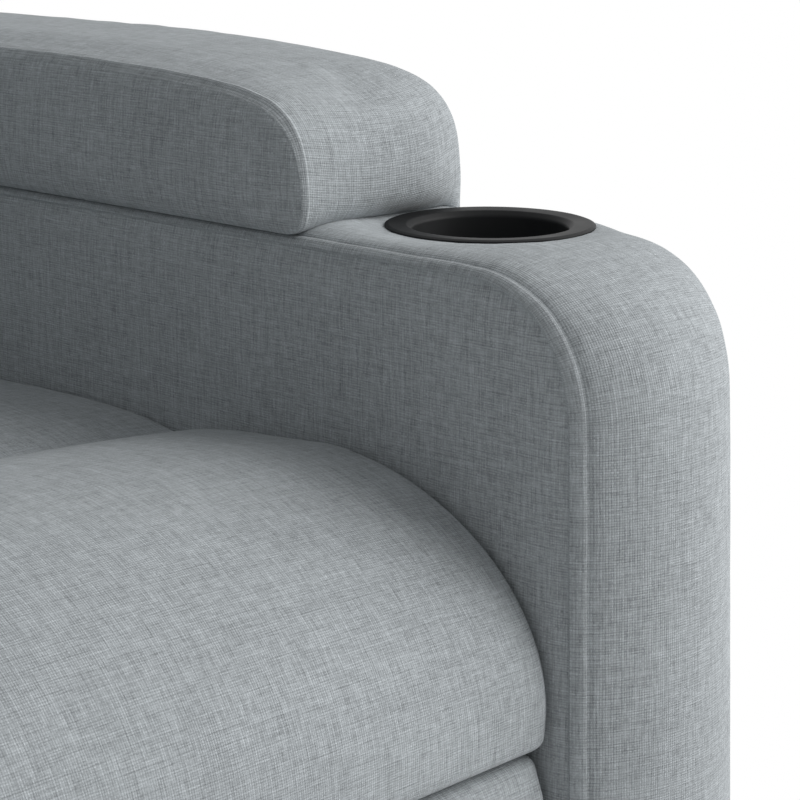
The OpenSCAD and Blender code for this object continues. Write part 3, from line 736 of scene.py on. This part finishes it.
# %% [markdown]
# ## Armrests
# Each armrest is a wooden box in foam under a cover of two flat side panels and one long band.
# The band runs up the front, over the top and down the rear. Its inner edge is sewn to the side
# panel with a double seam, a narrow raised strip between two sunken lines of stitches. The
# outer edges of the band are rounded, and far more in front than on top.

# %% Armrest outline
arm_low, arm_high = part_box("arm_left")
seat_clearance = 1.2 * mm
arm_low.x += seat_clearance
arm_corner_y = 82 * mm
arm_corner_z = 78 * mm
arm_rear_corner = 40 * mm
arm_lean = 4.5 * mm
arm_roundness = 2.4
# How far the cover lies behind the front's plane, by millimetres from the seam
front_rows = ((0, 10.2), (5, 4.6), (13, -1.4), (22, -6.6), (31, -10.6), (41, -13.3), (51, -15),
              (61, -15.6), (71, -15.2), (80, -13.8), (90, -11), (99, -7.2), (107, -2.4),
              (116, 3.8), (124, 10.6), (132, 18.6), (141, 30), (150, 44), (158, 61), (164, 80),
              (168, 100), (171, 124))
# How far it lies under the top's plane
top_rows = ((0, 3.2), (5, 0.6), (13, -2), (25, -4), (40, -5.2), (60, -5.6), (80, -5.2),
            (95, -4.4), (107, -3), (116, -1.2), (124, 1.2), (132, 4.6), (141, 10), (150, 17.5),
            (158, 27), (164, 36.5), (168, 46), (171, 58))


def along_rows(rows, at):
    """A smooth run through a table of two columns."""
    for k in range(len(rows) - 1):
        (a, low), (b, high) = rows[k], rows[k + 1]
        if at <= b or k == len(rows) - 2:
            before = rows[k - 1] if k else (2 * a - b, 2 * low - high)
            after = rows[k + 2] if k + 2 < len(rows) else (2 * b - a, 2 * high - low)
            t = within((at - a) / (b - a))
            slope_a = (high - before[1]) / (b - before[0]) * (b - a)
            slope_b = (after[1] - low) / (after[0] - a) * (b - a)
            return ((2 * t ** 3 - 3 * t * t + 1) * low + (t ** 3 - 2 * t * t + t) * slope_a
                    + (3 * t * t - 2 * t ** 3) * high + (t ** 3 - t * t) * slope_b)


def push_out(ring, lift):
    """Move an outline outwards by a lift, which may be a number or a function of the index."""
    count = len(ring)
    out = []
    for i, p in enumerate(ring):
        way = ring[(i + 1) % count] - ring[i - 1]
        side = Vector((-way.y, way.x)).normalized()
        out.append(p + side * (lift(i) if callable(lift) else lift))
    return out


def arm_outline(inset_front, inset_top, lean):
    """The side view of the armrest, from the foot of its front over the top and back."""
    least = 5 * mm
    a = max(arm_corner_y - inset_front, least)
    b = max(arm_corner_z - inset_top, least)
    inset_front = arm_corner_y - a
    top = arm_high.z - inset_top
    front_y = arm_low.y + inset_front
    bend = corner((arm_low.y + arm_corner_y, arm_high.z - arm_corner_z), a, b, 180, 90,
                  arm_roundness)
    inset_rear = 0.55 * max(inset_front, 0)
    c = max(arm_rear_corner - inset_rear, least)
    d = max(arm_rear_corner - inset_top, least)
    rear = corner((arm_high.y - arm_rear_corner, arm_high.z - arm_rear_corner), c, d, 90, 0)
    foot = (front_y, arm_low.z)
    heel = (rear[-1][0], arm_low.z)
    ring = closed_outline(([foot, bend[0]], 56), (bend, 22), ([bend[-1], rear[0]], 90), (rear, 10),
                          ([rear[-1], heel], 40), ([heel, foot], 60))
    for p in ring:
        tilt = within((p.y - 290 * mm) / (200 * mm), -0.4, 1.2)
        fading = within((arm_low.y + 110 * mm - p.x) / (60 * mm))
        p.x += lean * (tilt - 0.55) * fading
    return ring


# %% Double seam along the inner edge
# Each row is a distance from the seam and how far the cover stands out there, in millimetres.
double_seam = ((0, -1.7), (0.7, -0.9), (1.5, -0.1), (2.5, 0.3), (3.5, 0.3), (4.4, 0.05),
               (5.1, -0.6), (5.7, -1.2), (6.5, -0.6), (7.6, 0), (10, 0.4), (15, 0.5), (22, 0.3))


def seam_lift(rows, start):
    """How far the cover stands out at a distance from the seam; nothing past the last row."""
    lift = 0
    for (a, rise_a), (b, rise_b) in zip(rows, rows[1:]):
        if a * mm <= start <= b * mm:
            share = (start - a * mm) / ((b - a) * mm)
            lift = (rise_a + (rise_b - rise_a) * share) * mm
    return lift


def pucker(x, y, z, size):
    """A small unevenness of sewn cloth, the same on every run."""
    reach = 14 * mm
    return size * noise.noise(Vector((x, y, z)) / reach)


def sewn(ring, x, lift, size, sits_on):
    """A side view with its seam and its puckers; what lies under a height stays put."""
    lifted = push_out(ring, lambda i: lift + pucker(x * 0.35, ring[i].x, ring[i].y, size))
    return [p if ring[i].y > sits_on else ring[i] for i, p in enumerate(lifted)]


def band_stations(rows, low, high, flat_steps, round_steps):
    """Places across a band: over its seam's rows, its flat part and its rounded outer edge."""
    step = 8
    seam = [low + a * mm for a, _ in rows]
    flat = [seam[-1] + (i + 1) * step * mm for i in range(flat_steps)]
    rounded = (math.sin(math.pi / 2 * (i + 1) / round_steps) for i in range(round_steps))
    return seam + flat + [high - (high - flat[-1]) * (1 - share) for share in rounded]


def arm_ring(x):
    start = x - arm_low.x
    lean = arm_lean * (1 + 0.8 * min(1, start / (100 * mm)))
    ring = arm_outline(along_rows(front_rows, start / mm) * mm,
                       along_rows(top_rows, start / mm) * mm, lean)
    return sewn(ring, x, seam_lift(double_seam, start), 0.35 * mm, arm_low.z + 1 * mm)


arm_middle = (arm_low.yz + arm_high.yz) / 2
side_panel = ((0.8, -1.6), (2, -1.5), (4.5, -0.6), (8, 0.4), (13, 1.0), (22, 1.2))
across_arm = band_stations(double_seam, arm_low.x, arm_high.x, flat_steps=8, round_steps=13)
bm, girth = cross_pull(across_arm, arm_ring, arm_middle, 16 * mm, side_panel, [(10, 0)])
print("armrest cover", len(bm.verts), "vertices before its hole")

# %% [markdown]
# The cup holder sits in a round hole. The faces under its flange are taken out, the ragged
# edge is snapped to a circle and the cloth is turned down into the hole. Underneath, the cover
# is stapled to the wooden box, so the middle of its bottom is cut out and pushed up round the
# box.

# %% Hole for the cup holder
cup_low, cup_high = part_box("cup_holder_left")
cup_place = (cup_low + cup_high) / 2
hole_radius = 45 * mm
hole_depth = 52 * mm


def from_cup(co):
    return math.hypot(co.x - cup_place.x, co.y - cup_place.y)


flat_to, crown_from = 55 * mm, 82 * mm
top_cloth = 12 * mm
for vertex in bm.verts:
    if vertex.co.z > arm_high.z - top_cloth:
        away = eased(within((from_cup(vertex.co) - flat_to) / (crown_from - flat_to)))
        vertex.co.z = (arm_high.z + 0.2 * mm) * (1 - away) + vertex.co.z * away
gone = [f for f in bm.faces if from_cup(f.calc_center_median()) < hole_radius
        and f.calc_center_median().z > arm_high.z - (9 if f.normal.z > 0.5 else 5) * mm]
bmesh.ops.delete(bm, geom=gone, context="FACES")
rim = [e for e in bm.edges if e.is_boundary]
for vertex in {v for e in rim for v in e.verts}:
    way = Vector((vertex.co.x - cup_place.x, vertex.co.y - cup_place.y, 0)).normalized()
    vertex.co = Vector((cup_place.x, cup_place.y, vertex.co.z)) + way * hole_radius
turned = bmesh.ops.extrude_edge_only(bm, edges=rim)["geom"]
bmesh.ops.translate(bm, vec=(0, 0, -hole_depth), verts=only(BMVert, turned))
print("cup hole: took", len(gone), "faces out")

# %% Open the armrest's underside
box_low, box_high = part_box("arm_frame_left")
play = 0.2 * mm
bottom = [f for f in bm.faces if max(v.co.z for v in f.verts) < arm_low.z + 0.5 * mm]
for axis in (0, 1):
    for at in (box_low[axis] - play, box_high[axis] + play):
        bottom = cut_across(bm, bottom, axis, at)

centres = {f: f.calc_center_median() for f in bottom}
inner = [f for f, co in centres.items()
         if box_low.x < co.x < box_high.x and box_low.y < co.y < box_high.y]
raised = bmesh.ops.extrude_face_region(bm, geom=inner)["geom"]
bmesh.ops.delete(bm, geom=inner, context="FACES")
bmesh.ops.translate(bm, vec=(0, 0, box_high.z + play - arm_low.z), verts=only(BMVert, raised))
lay_cloth(bm, girth)
arm_left = piece_of("arm_cover_left", bm, cloth)
rounder(arm_left)
on_both_sides(arm_left, "chair", "upholstery_fabric", "arm", fill=0.9)

# %% [markdown]
# ## Arm pads
# A thick pad raises the armrest behind the cup holder. Its front hangs over its own foot, most
# of all in the middle, so the outline is tucked under there. The inner edge has the same
# seam as the arm, with a fine ridge and a second row of stitches on the side panel.

# %% Arm pad
pad_low, pad_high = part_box("arm_pad_left")
pad_front = pad_low.y
pad_seam_h = 74 * mm
pad_crown = 7.5 * mm
pad_edge = 60 * mm
pad_nose = 27 * mm
pad_centre = Vector(((pad_low.y + pad_high.y) / 2, arm_high.z))
# How far the pad's foot lies behind its bulge: at the inner seam, in the middle, outside
tuck_inner, tuck_middle, tuck_outer = 7 * mm, 17 * mm, -14 * mm


def pad_tuck(share):
    """Quadratic run through the three tucks across the pad."""
    return (tuck_inner * (1 - share) * (1 - 2 * share) + tuck_middle * 4 * share * (1 - share)
            + tuck_outer * share * (2 * share - 1))


# The share of the crown by millimetres from the seam
crown_rows = ((0, 0), (4.5, 0.48), (13, 0.74), (25, 0.92), (40, 0.99), (60, 1), (100, 1), (170, 1))
# The share of its height that the front has reached, by millimetres back
rise_rows = ((3, 0.52), (9, 0.68), (20, 0.80), (35, 0.872), (56, 0.918), (88, 0.952),
             (130, 0.978), (190, 0.997), (260, 1))


def pad_outline(x):
    share = (x - pad_low.x) / (pad_high.x - pad_low.x)
    tuck = pad_tuck(share)
    crown = pad_crown * along_rows(crown_rows, (x - pad_low.x) / mm)
    low, tall = arm_high.z, pad_seam_h + crown
    deep = 0.18 * max(tuck - tuck_inner, 0)
    foot = [(pad_front + tuck, low), (pad_front + 0.45 * tuck, low + 3 * mm + 0.3 * deep),
            (pad_front + 0.08 * tuck, low + 10 * mm + 0.7 * deep),
            (pad_front, low + 21 * mm + deep)]
    front = through(foot + [(pad_front + back * mm, low + share * tall)
                            for back, share in rise_rows])
    rear_y, rear_z = 44 * mm, 46 * mm
    rear = corner((pad_high.y - rear_y, low + tall - rear_z), rear_y, rear_z, 90, 0, 2.3)
    heel = (pad_high.y - 2 * mm, low)
    return closed_outline((front, 62), ([front[-1], rear[0]], 30), (rear, 14),
                          ([rear[-1], heel], 6), ([heel, front[0]], 56)), tall


pad_seam = ((0, -0.9), (0.8, -0.2), (1.8, 0.3), (2.9, 0.75), (3.6, 0.95), (4.3, 0.5), (5.0, -0.1),
            (6.2, 0), (9, 0.1), (13, 0))


def pad_ring(x):
    depth = pad_high.x - x
    ring, tall = pad_outline(x)
    inset_top = drawn(pad_edge, depth)
    inset_front = drawn(pad_edge + pad_nose, depth)
    ring = squeezed(ring, pad_centre, inset_front, inset_top, (pad_high.y - pad_low.y) / 2, tall)
    return sewn(ring, x, seam_lift(pad_seam, x - pad_low.x), 0.3 * mm, arm_high.z + 2 * mm)


pad_middle = Vector((pad_centre.x, arm_high.z + pad_seam_h / 2))
pad_side = ((0.8, -0.4), (2, 0.5), (4, 0.9), (7.5, 1.1), (12, 1.2), (18, 1.2), (26, 1.2))
across_pad = band_stations(pad_seam, pad_low.x, pad_high.x, flat_steps=11, round_steps=12)
bm, girth = cross_pull(across_pad, pad_ring, pad_middle, 8 * mm, pad_side, [(8, 0)])
lay_cloth(bm, girth)

# Outside the arm's crown the foot follows the shoulder down and in.
foot_h = 34 * mm
crown_at = 60
deepest = 22 * mm
for vertex in bm.verts:
    foot = within(1 - (vertex.co.z - arm_high.z) / foot_h)
    fall = along_rows(top_rows, max((vertex.co.x - arm_low.x) / mm, crown_at)) * mm
    vertex.co.z -= foot * foot * within(fall, 0, deepest)
    vertex.co.x -= foot * foot * 0.2 * max(vertex.co.x - arm_low.x - 140 * mm, 0)

# The foam pushes the side panel out, most of all a third of the way up.
pad_belly = 5.6 * mm
for vertex in bm.verts:
    if vertex.co.x < pad_low.x + 0.6 * mm:
        high = within((vertex.co.z - arm_high.z) / pad_seam_h)
        near_end = within(min(vertex.co.y - pad_low.y, pad_high.y - vertex.co.y) / (60 * mm))
        full = math.sin(math.pi * high ** 0.63) * near_end * (2 - near_end)
        vertex.co.x -= pad_belly * max(full, 0)
pad_left = piece_of("arm_pad_cover_left", bm, cloth)


def pad_pinned(co):
    return co.z < arm_high.z + 12 * mm or co.x < pad_low.x + 14 * mm


plump(pad_left, pad_pinned, 3 * mm)
rounder(pad_left)
on_both_sides(pad_left, "chair", "upholstery_fabric", "arm_pad", fill=0.85)

# %% [markdown]
# ## Cup holders
# The cup holder is one moulding, round all over, so half of its section is drawn once and spun
# about its axis. The corners of the section carry small radii, which catch a fine line of light
# on the real one.

# %% Cup holder
flange_radius = (cup_high.x - cup_low.x) / 2
well_radius = 40 * mm
flange_top = cup_high.z
well_floor = cup_low.z + 3 * mm


def fillet(before, at, after, radius):
    """Points of the arc that rounds a corner of a section."""
    a = (before - at).normalized()
    b = (after - at).normalized()
    half = a.angle(b) / 2
    reach = radius / math.tan(half)
    start, end = at + a * reach, at + b * reach
    centre = at + (a + b).normalized() * (radius / math.sin(half))
    steps = 5
    return [centre + (start.lerp(end, i / steps) - centre).normalized() * radius
            for i in range(steps + 1)]


def rounded_section(corners):
    """A section from (radius, height, rounding) rows; the ends are not rounded."""
    spots = [Vector((r, z)) for r, z, _ in corners]
    line = [spots[0]]
    for i in range(1, len(corners) - 1):
        line += fillet(spots[i - 1], spots[i], spots[i + 1], corners[i][2])
    return line + [spots[-1]]


def spun(section, steps=96):
    """A closed round body from half of its section, with its poles merged."""
    bm = bmesh.new()
    line = [bm.verts.new((p.x, 0, p.y)) for p in section]
    edges = [bm.edges.new(pair) for pair in zip(line, line[1:])]
    bmesh.ops.spin(bm, geom=line + edges, axis=(0, 0, 1), cent=(0, 0, 0), dvec=(0, 0, 0),
                   angle=2 * math.pi, steps=steps, use_merge=True)
    bmesh.ops.remove_doubles(bm, verts=bm.verts, dist=0.01 * mm)
    return bm


outer = well_radius + 3 * mm
under_flange = arm_high.z - 0.6 * mm
cup_section = rounded_section([
    (0, well_floor - 3 * mm, 0), (outer, cup_low.z, 4 * mm), (outer, under_flange, 1 * mm),
    (flange_radius, under_flange, 0.4 * mm), (flange_radius, flange_top - 1.9 * mm, 0.5 * mm),
    (flange_radius - 2 * mm, flange_top - 1.2 * mm, 1 * mm), (outer, flange_top - 1.7 * mm, 2 * mm),
    (well_radius, flange_top - 4.2 * mm, 2.4 * mm), (well_radius - 1.5 * mm, well_floor, 6 * mm),
    (0, well_floor, 0)])
bm = spun(cup_section)
bmesh.ops.translate(bm, vec=(cup_place.x, cup_place.y, 0), verts=bm.verts)
cup_left = piece_of("cup_insert_left", bm, finishes["satin_plastic"])
on_both_sides(cup_left, "chair", "black_plastic", "cup_holder")

# %% [markdown]
# ## Legrest
# The legrest pad is screwed to a board and hangs under the seat. It is one cover over two
# swells of foam with a sewn channel between them, flat behind and drawn in at its ends.

# %% Legrest pad
rest_low, rest_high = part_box("footrest_pad")
rest_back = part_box("footrest_board")[0].y
rest_channel = 236 * mm
rest_edge = 8 * mm
rest_crown = 5 * mm
rest_depth = 55 * mm
rest_half = rest_high.x


# Each row is a height share of a swell and how far it stands off the board, in millimetres.
swell_rows = ((0.0, 36), (0.05, 42.5), (0.14, 48), (0.3, 53), (0.5, 55), (0.7, 54), (0.86, 51),
              (0.95, 47))


def rest_outline(crown):
    """Two swells, one over the other."""
    line = [(rest_back - 22 * mm, rest_low.z), (rest_back - 36 * mm, rest_low.z + 2 * mm)]
    for low, high in ((rest_low.z + 6 * mm, rest_channel - 3 * mm),
                      (rest_channel + 3 * mm, rest_high.z - 4 * mm)):
        for share, depth in swell_rows:
            line.append((rest_back - depth * mm - crown * min(1, 4 * share * (1 - share)),
                         low + (high - low) * share))
    line += [(rest_back - 43 * mm, rest_high.z - 2.5 * mm), (rest_back - 30 * mm, rest_high.z)]
    top, foot = (rest_back, rest_high.z), (rest_back, rest_low.z)
    return closed_outline((through(line, 6), 110), ([line[-1], top], 6), ([top, foot], 40),
                          ([foot, line[0]], 5))


rest_middle = Vector((rest_back, (rest_low.z + rest_high.z) / 2))


def rest_ring(x):
    inset = drawn(rest_edge, rest_half - abs(x))
    ring = rest_outline(rest_crown * swell(x, rest_half))
    return squeezed(ring, rest_middle, inset, 0.35 * inset, rest_depth,
                    (rest_high.z - rest_low.z) / 2)


rest_pad = cushion("legrest_cover", rest_half, rest_edge, rest_ring,
                   rest_middle - Vector((20 * mm, 0)))


def rest_pinned(co):
    return (co.y > rest_back - 30 * mm or abs(co.z - rest_channel) < 5 * mm
            or abs(co.x) > rest_half - 10 * mm)


plump(rest_pad, rest_pinned, 4 * mm)
rounder(rest_pad)
belongs(rest_pad, "footrest", "upholstery_fabric", "footrest_pad", fill=0.75)

# %% [markdown]
# ## Back
# The back leans 16 degrees, so its pieces are drawn upright round the hinge and leaned over at
# the end. Three pillows lie one over another in front of a padded shell, and two wings reach
# forward beside the upper ones.

# %% The leaning frame of the back
hinge_y, hinge_z = 185 * mm, 400 * mm
leaning = Matrix.Translation((0, hinge_y, hinge_z)) @ Matrix.Rotation(math.radians(-16), 4, "X")
shell_front = -10 * mm
shell_half = 240 * mm
pillow_half = 242 * mm
pillow_edge = 34 * mm

# %% Three pillows
def pillow(name, node, low, high, bulge, crown, sag):
    """A back pillow between two heights up the back, bulging forward and sagging a little."""
    half = (high - low) / 2
    centre = Vector((shell_front - 20 * mm, (low + high) / 2))
    seam_depth = 18 * mm
    steps = 48

    def ring_at(x):
        inset = drawn(pillow_edge, pillow_half - abs(x))
        reach = bulge + crown * swell(x, pillow_half)
        front = []
        for i in range(steps + 1):
            angle = math.radians(-90 + 180 * i / steps)
            c, sn = max(0, math.cos(angle)), math.sin(angle)
            front.append((shell_front - seam_depth - (reach - seam_depth) * c ** 0.62,
                          centre.y + half * math.copysign(abs(sn) ** 0.8, sn) - sag * c))
        back_low, back_high = (shell_front, low + 3 * mm), (shell_front, high - 3 * mm)
        ring = closed_outline(([back_low, front[0]], 4), (front, 54), ([front[-1], back_high], 4),
                              ([back_high, back_low], 30))
        return squeezed(ring, Vector((shell_front, centre.y)), inset, 0.5 * inset, bulge, half)

    piece = cushion(name, pillow_half, pillow_edge, ring_at, centre)
    plump(piece, lambda co: co.y > shell_front - 14 * mm, 7 * mm)
    piece.data.transform(leaning)
    rounder(piece)
    belongs(piece, "back", "upholstery_fabric", node, fill=0.7)


pillow_gap = 2 * mm
for part, low, high, bulge, crown, sag in (("lumbar", 36, 236, 84, 10, 4),
                                           ("shoulder", 236, 430, 80, 8, 4),
                                           ("head", 430, 638, 98, 10, 6)):
    top = high * mm if part == "head" else high * mm - pillow_gap
    pillow(part + "_pillow", part + "_cushion", low * mm, top, bulge * mm, crown * mm, sag * mm)


# %% Wings
wing_in, wing_out = shell_half + 4 * mm, 298 * mm
wing_reach = 92 * mm
wing_bottom, wing_top = 325 * mm, 636 * mm
wing_edge = 34 * mm
wing_nose = 30 * mm


def wing_outline(z):
    inset = drawn(wing_edge, min(z - wing_bottom, wing_top - z))
    centre_x, half = (wing_in + wing_out) / 2, (wing_out - wing_in) / 2 - 0.12 * inset
    forward = 12 * mm * math.sin(math.pi * (z - wing_bottom) / (wing_top - wing_bottom)) - 6 * mm
    front_y = shell_front - wing_reach + inset - forward
    nose = corner((centre_x, front_y + wing_nose), half, wing_nose, 0, -180, 2.3)
    left, right = (centre_x - half, shell_front), (centre_x + half, shell_front)
    return closed_outline((nose, 26), ([nose[-1], left], 10), ([left, right], 8),
                          ([right, nose[0]], 10))


bm, girth = upright_pull(stations(wing_bottom, wing_top, wing_edge, cell), wing_outline, cell)
lay_cloth(bm, girth, turn=True)
wing_left = piece_of("wing_pad_left", bm, cloth)
plump(wing_left, lambda co: co.y > shell_front - 12 * mm, 3 * mm)
wing_left.data.transform(leaning)
rounder(wing_left)
on_both_sides(wing_left, "back", "upholstery_fabric", "wing", fill=0.8)

# %% Shell of the back
shell_depth = 118 * mm
shell_bottom, shell_top = -35 * mm, 640 * mm
wide_from = 322 * mm
narrow_to = 290 * mm
head_half = 298 * mm
shell_corner = 24 * mm
top_round, foot_round = 44 * mm, 12 * mm


def shell_outline(z):
    """Seen from above: flat in front, with rounded rear corners; narrower below the wings."""
    share = within((z - narrow_to) / (wide_from - narrow_to))
    half = shell_half + (head_half - shell_half) * share * share * (3 - 2 * share)
    top_inset = drawn(top_round, shell_top - z)
    half -= 0.62 * top_inset
    rear = shell_front + shell_depth - top_inset - 0.5 * drawn(foot_round, z - shell_bottom)
    c = shell_corner
    left = corner((half - c, rear - c), c, c, 0, 90, 2.2, 8)
    right = corner((c - half, rear - c), c, c, 90, 180, 2.2, 8)
    front = [(-half, shell_front), (half, shell_front)]
    return closed_outline(([front[1], left[0]], 10), (left, 7), ([left[-1], right[0]], 50),
                          (right, 7), ([right[-1], front[0]], 10), (front, 40))


heights = stations(shell_bottom, narrow_to, foot_round, 14 * mm)
heights += [narrow_to + (wide_from - narrow_to) * i / 6 for i in range(1, 7)]
heights += [h for h in stations(wide_from + 0.1 * mm, shell_top, top_round, 10 * mm)
            if h > wide_from + 8 * mm]
bm, girth = upright_pull(heights, shell_outline, 20 * mm)
bmesh.ops.transform(bm, matrix=leaning, verts=bm.verts)
lay_cloth(bm, girth, turn=True)
shell = piece_of("back_shell_cover", bm, cloth)
rounder(shell)
belongs(shell, "back", "upholstery_fabric", "back_shell", fill=0.8)


# %% [markdown]
# ## Covers on flat panels
# The rear panel of the seat and the side pockets are boards and folds of cloth. They start from
# a cube, and a bevel gives them the radius of cloth that is pulled round an edge.

# %% A covered board
def board_bmesh(low, high, radius, segments=4):
    """A box between two corners with all its edges rounded."""
    bm = bmesh.new()
    bmesh.ops.create_cube(bm, size=1)
    low, high = Vector(low), Vector(high)
    bmesh.ops.scale(bm, vec=high - low, verts=bm.verts)
    bmesh.ops.translate(bm, vec=(low + high) / 2, verts=bm.verts)
    bmesh.ops.bevel(bm, geom=list(bm.edges), offset=radius, segments=segments, profile=0.5,
                    affect="EDGES", material=-1)
    return bm


def lay_flat_cloth(bm):
    """UVs in metres from the place, by the side that a face looks to."""
    uv = bm.loops.layers.uv.new("Cloth")
    for face in bm.faces:
        face.normal_update()
        a, b = flat_axes(face)
        for loop in face.loops:
            loop[uv].uv = (loop.vert.co[a], loop.vert.co[b])


panel_low, panel_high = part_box("rear_panel")
bm = board_bmesh(panel_low, panel_high, 5 * mm)
lay_flat_cloth(bm)
rear_panel = piece_of("rear_panel_cover", bm, cloth)
belongs(rear_panel, "chair", "upholstery_fabric", "rear_panel", fill=0.9)

# %% Side pockets
pocket_low, pocket_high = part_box("side_pocket_left")
pocket_wall = 2.6 * mm
hem_h = 22 * mm
pocket_round = 7 * mm
bm = board_bmesh(pocket_low, pocket_high, pocket_round)
past_round = 7.2 * mm
round_top = pocket_high.z - past_round
round_inside = pocket_low.x + past_round
opened = {f for f in bm.faces if f.calc_center_median().z > round_top and f.normal.z > -0.1
          or f.calc_center_median().x < round_inside and f.normal.x < 0.1}
bmesh.ops.delete(bm, geom=list(opened), context="FACES")
for at in (round_top - hem_h, round_top - hem_h + 1.2 * mm):
    bmesh.ops.bisect_plane(bm, geom=[*bm.verts, *bm.edges, *bm.faces], plane_co=(0, 0, at),
                           plane_no=(0, 0, 1))
for v in [v for v in bm.verts if v.is_boundary]:
    if v.co.x < pocket_low.x + 7.3 * mm:
        v.co.x = pocket_low.x
    if v.co.z > pocket_high.z - 9 * mm:
        v.co.z = pocket_high.z
bmesh.ops.solidify(bm, geom=bm.faces[:], thickness=pocket_wall)
lay_flat_cloth(bm)
pocket_left = piece_of("pocket_cover_left", bm, cloth)
on_both_sides(pocket_left, "chair", "upholstery_fabric", "side_pocket")

# %% [markdown]
# ## Handset
# The handset is a slim moulding in the right pocket: a rounded body with four plain round keys,
# each in a well that it can sink into. The body's normals follow its large faces, so that they
# stay flat beside its small bevels.

# %% Handset body and keys
set_low, set_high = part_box("handset")
bm = board_bmesh(set_low, set_high, 5 * mm, 5)
face = min(bm.faces, key=lambda f: (round(f.calc_center_median().x, 5), -f.calc_area()))
rims = list(face.edges)
bmesh.ops.delete(bm, geom=[face], context="FACES_ONLY")
key_names = ["button_" + action for action in ("lift", "lower", "back_up", "back_down")]
key_play = 0.3 * mm
well_depth = 5 * mm
wells = []
for key_name in key_names:
    low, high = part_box(key_name)
    spot = (low + high) / 2
    ring = bmesh.ops.create_circle(bm, segments=40, radius=(high.z - low.z) / 2 + key_play)["verts"]
    bmesh.ops.rotate(bm, matrix=Matrix.Rotation(math.radians(90), 3, "Y"), verts=ring)
    bmesh.ops.translate(bm, vec=(set_low.x, spot.y, spot.z), verts=ring)
    wells.append(list({e for v in ring for e in v.link_edges}))
    rims += wells[-1]
bmesh.ops.triangle_fill(bm, use_beauty=True, edges=rims)
for edges in wells:
    sunk = bmesh.ops.extrude_edge_only(bm, edges=edges)["geom"]
    bmesh.ops.translate(bm, vec=(well_depth, 0, 0), verts=only(BMVert, sunk))
    bmesh.ops.edgenet_fill(bm, edges=only(BMEdge, sunk))
handset = piece_of("handset_body", bm, finishes["matt_plastic"])
handset.modifiers.new("even", "WEIGHTED_NORMAL")
belongs(handset, "handset", "black_plastic", "handset")
for key_name in key_names:
    low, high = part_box(key_name)
    spot = (low + high) / 2
    radius, tall = (high.z - low.z) / 2, high.x - low.x
    bm = spun(rounded_section([(0, 0, 0), (radius, 0, 0.2 * mm), (radius, tall, 1.0 * mm),
                               (0.55 * radius, tall, 1 * mm), (0, tall - 0.5 * mm, 0)]), 48)
    bmesh.ops.rotate(bm, matrix=Matrix.Rotation(math.radians(-90), 3, "Y"), verts=bm.verts)
    bmesh.ops.translate(bm, vec=(high.x, spot.y, spot.z), verts=bm.verts)
    key = piece_of(key_name + "_cap", bm, finishes["keys"])
    belongs(key, key_name, "button_plastic", key_name)
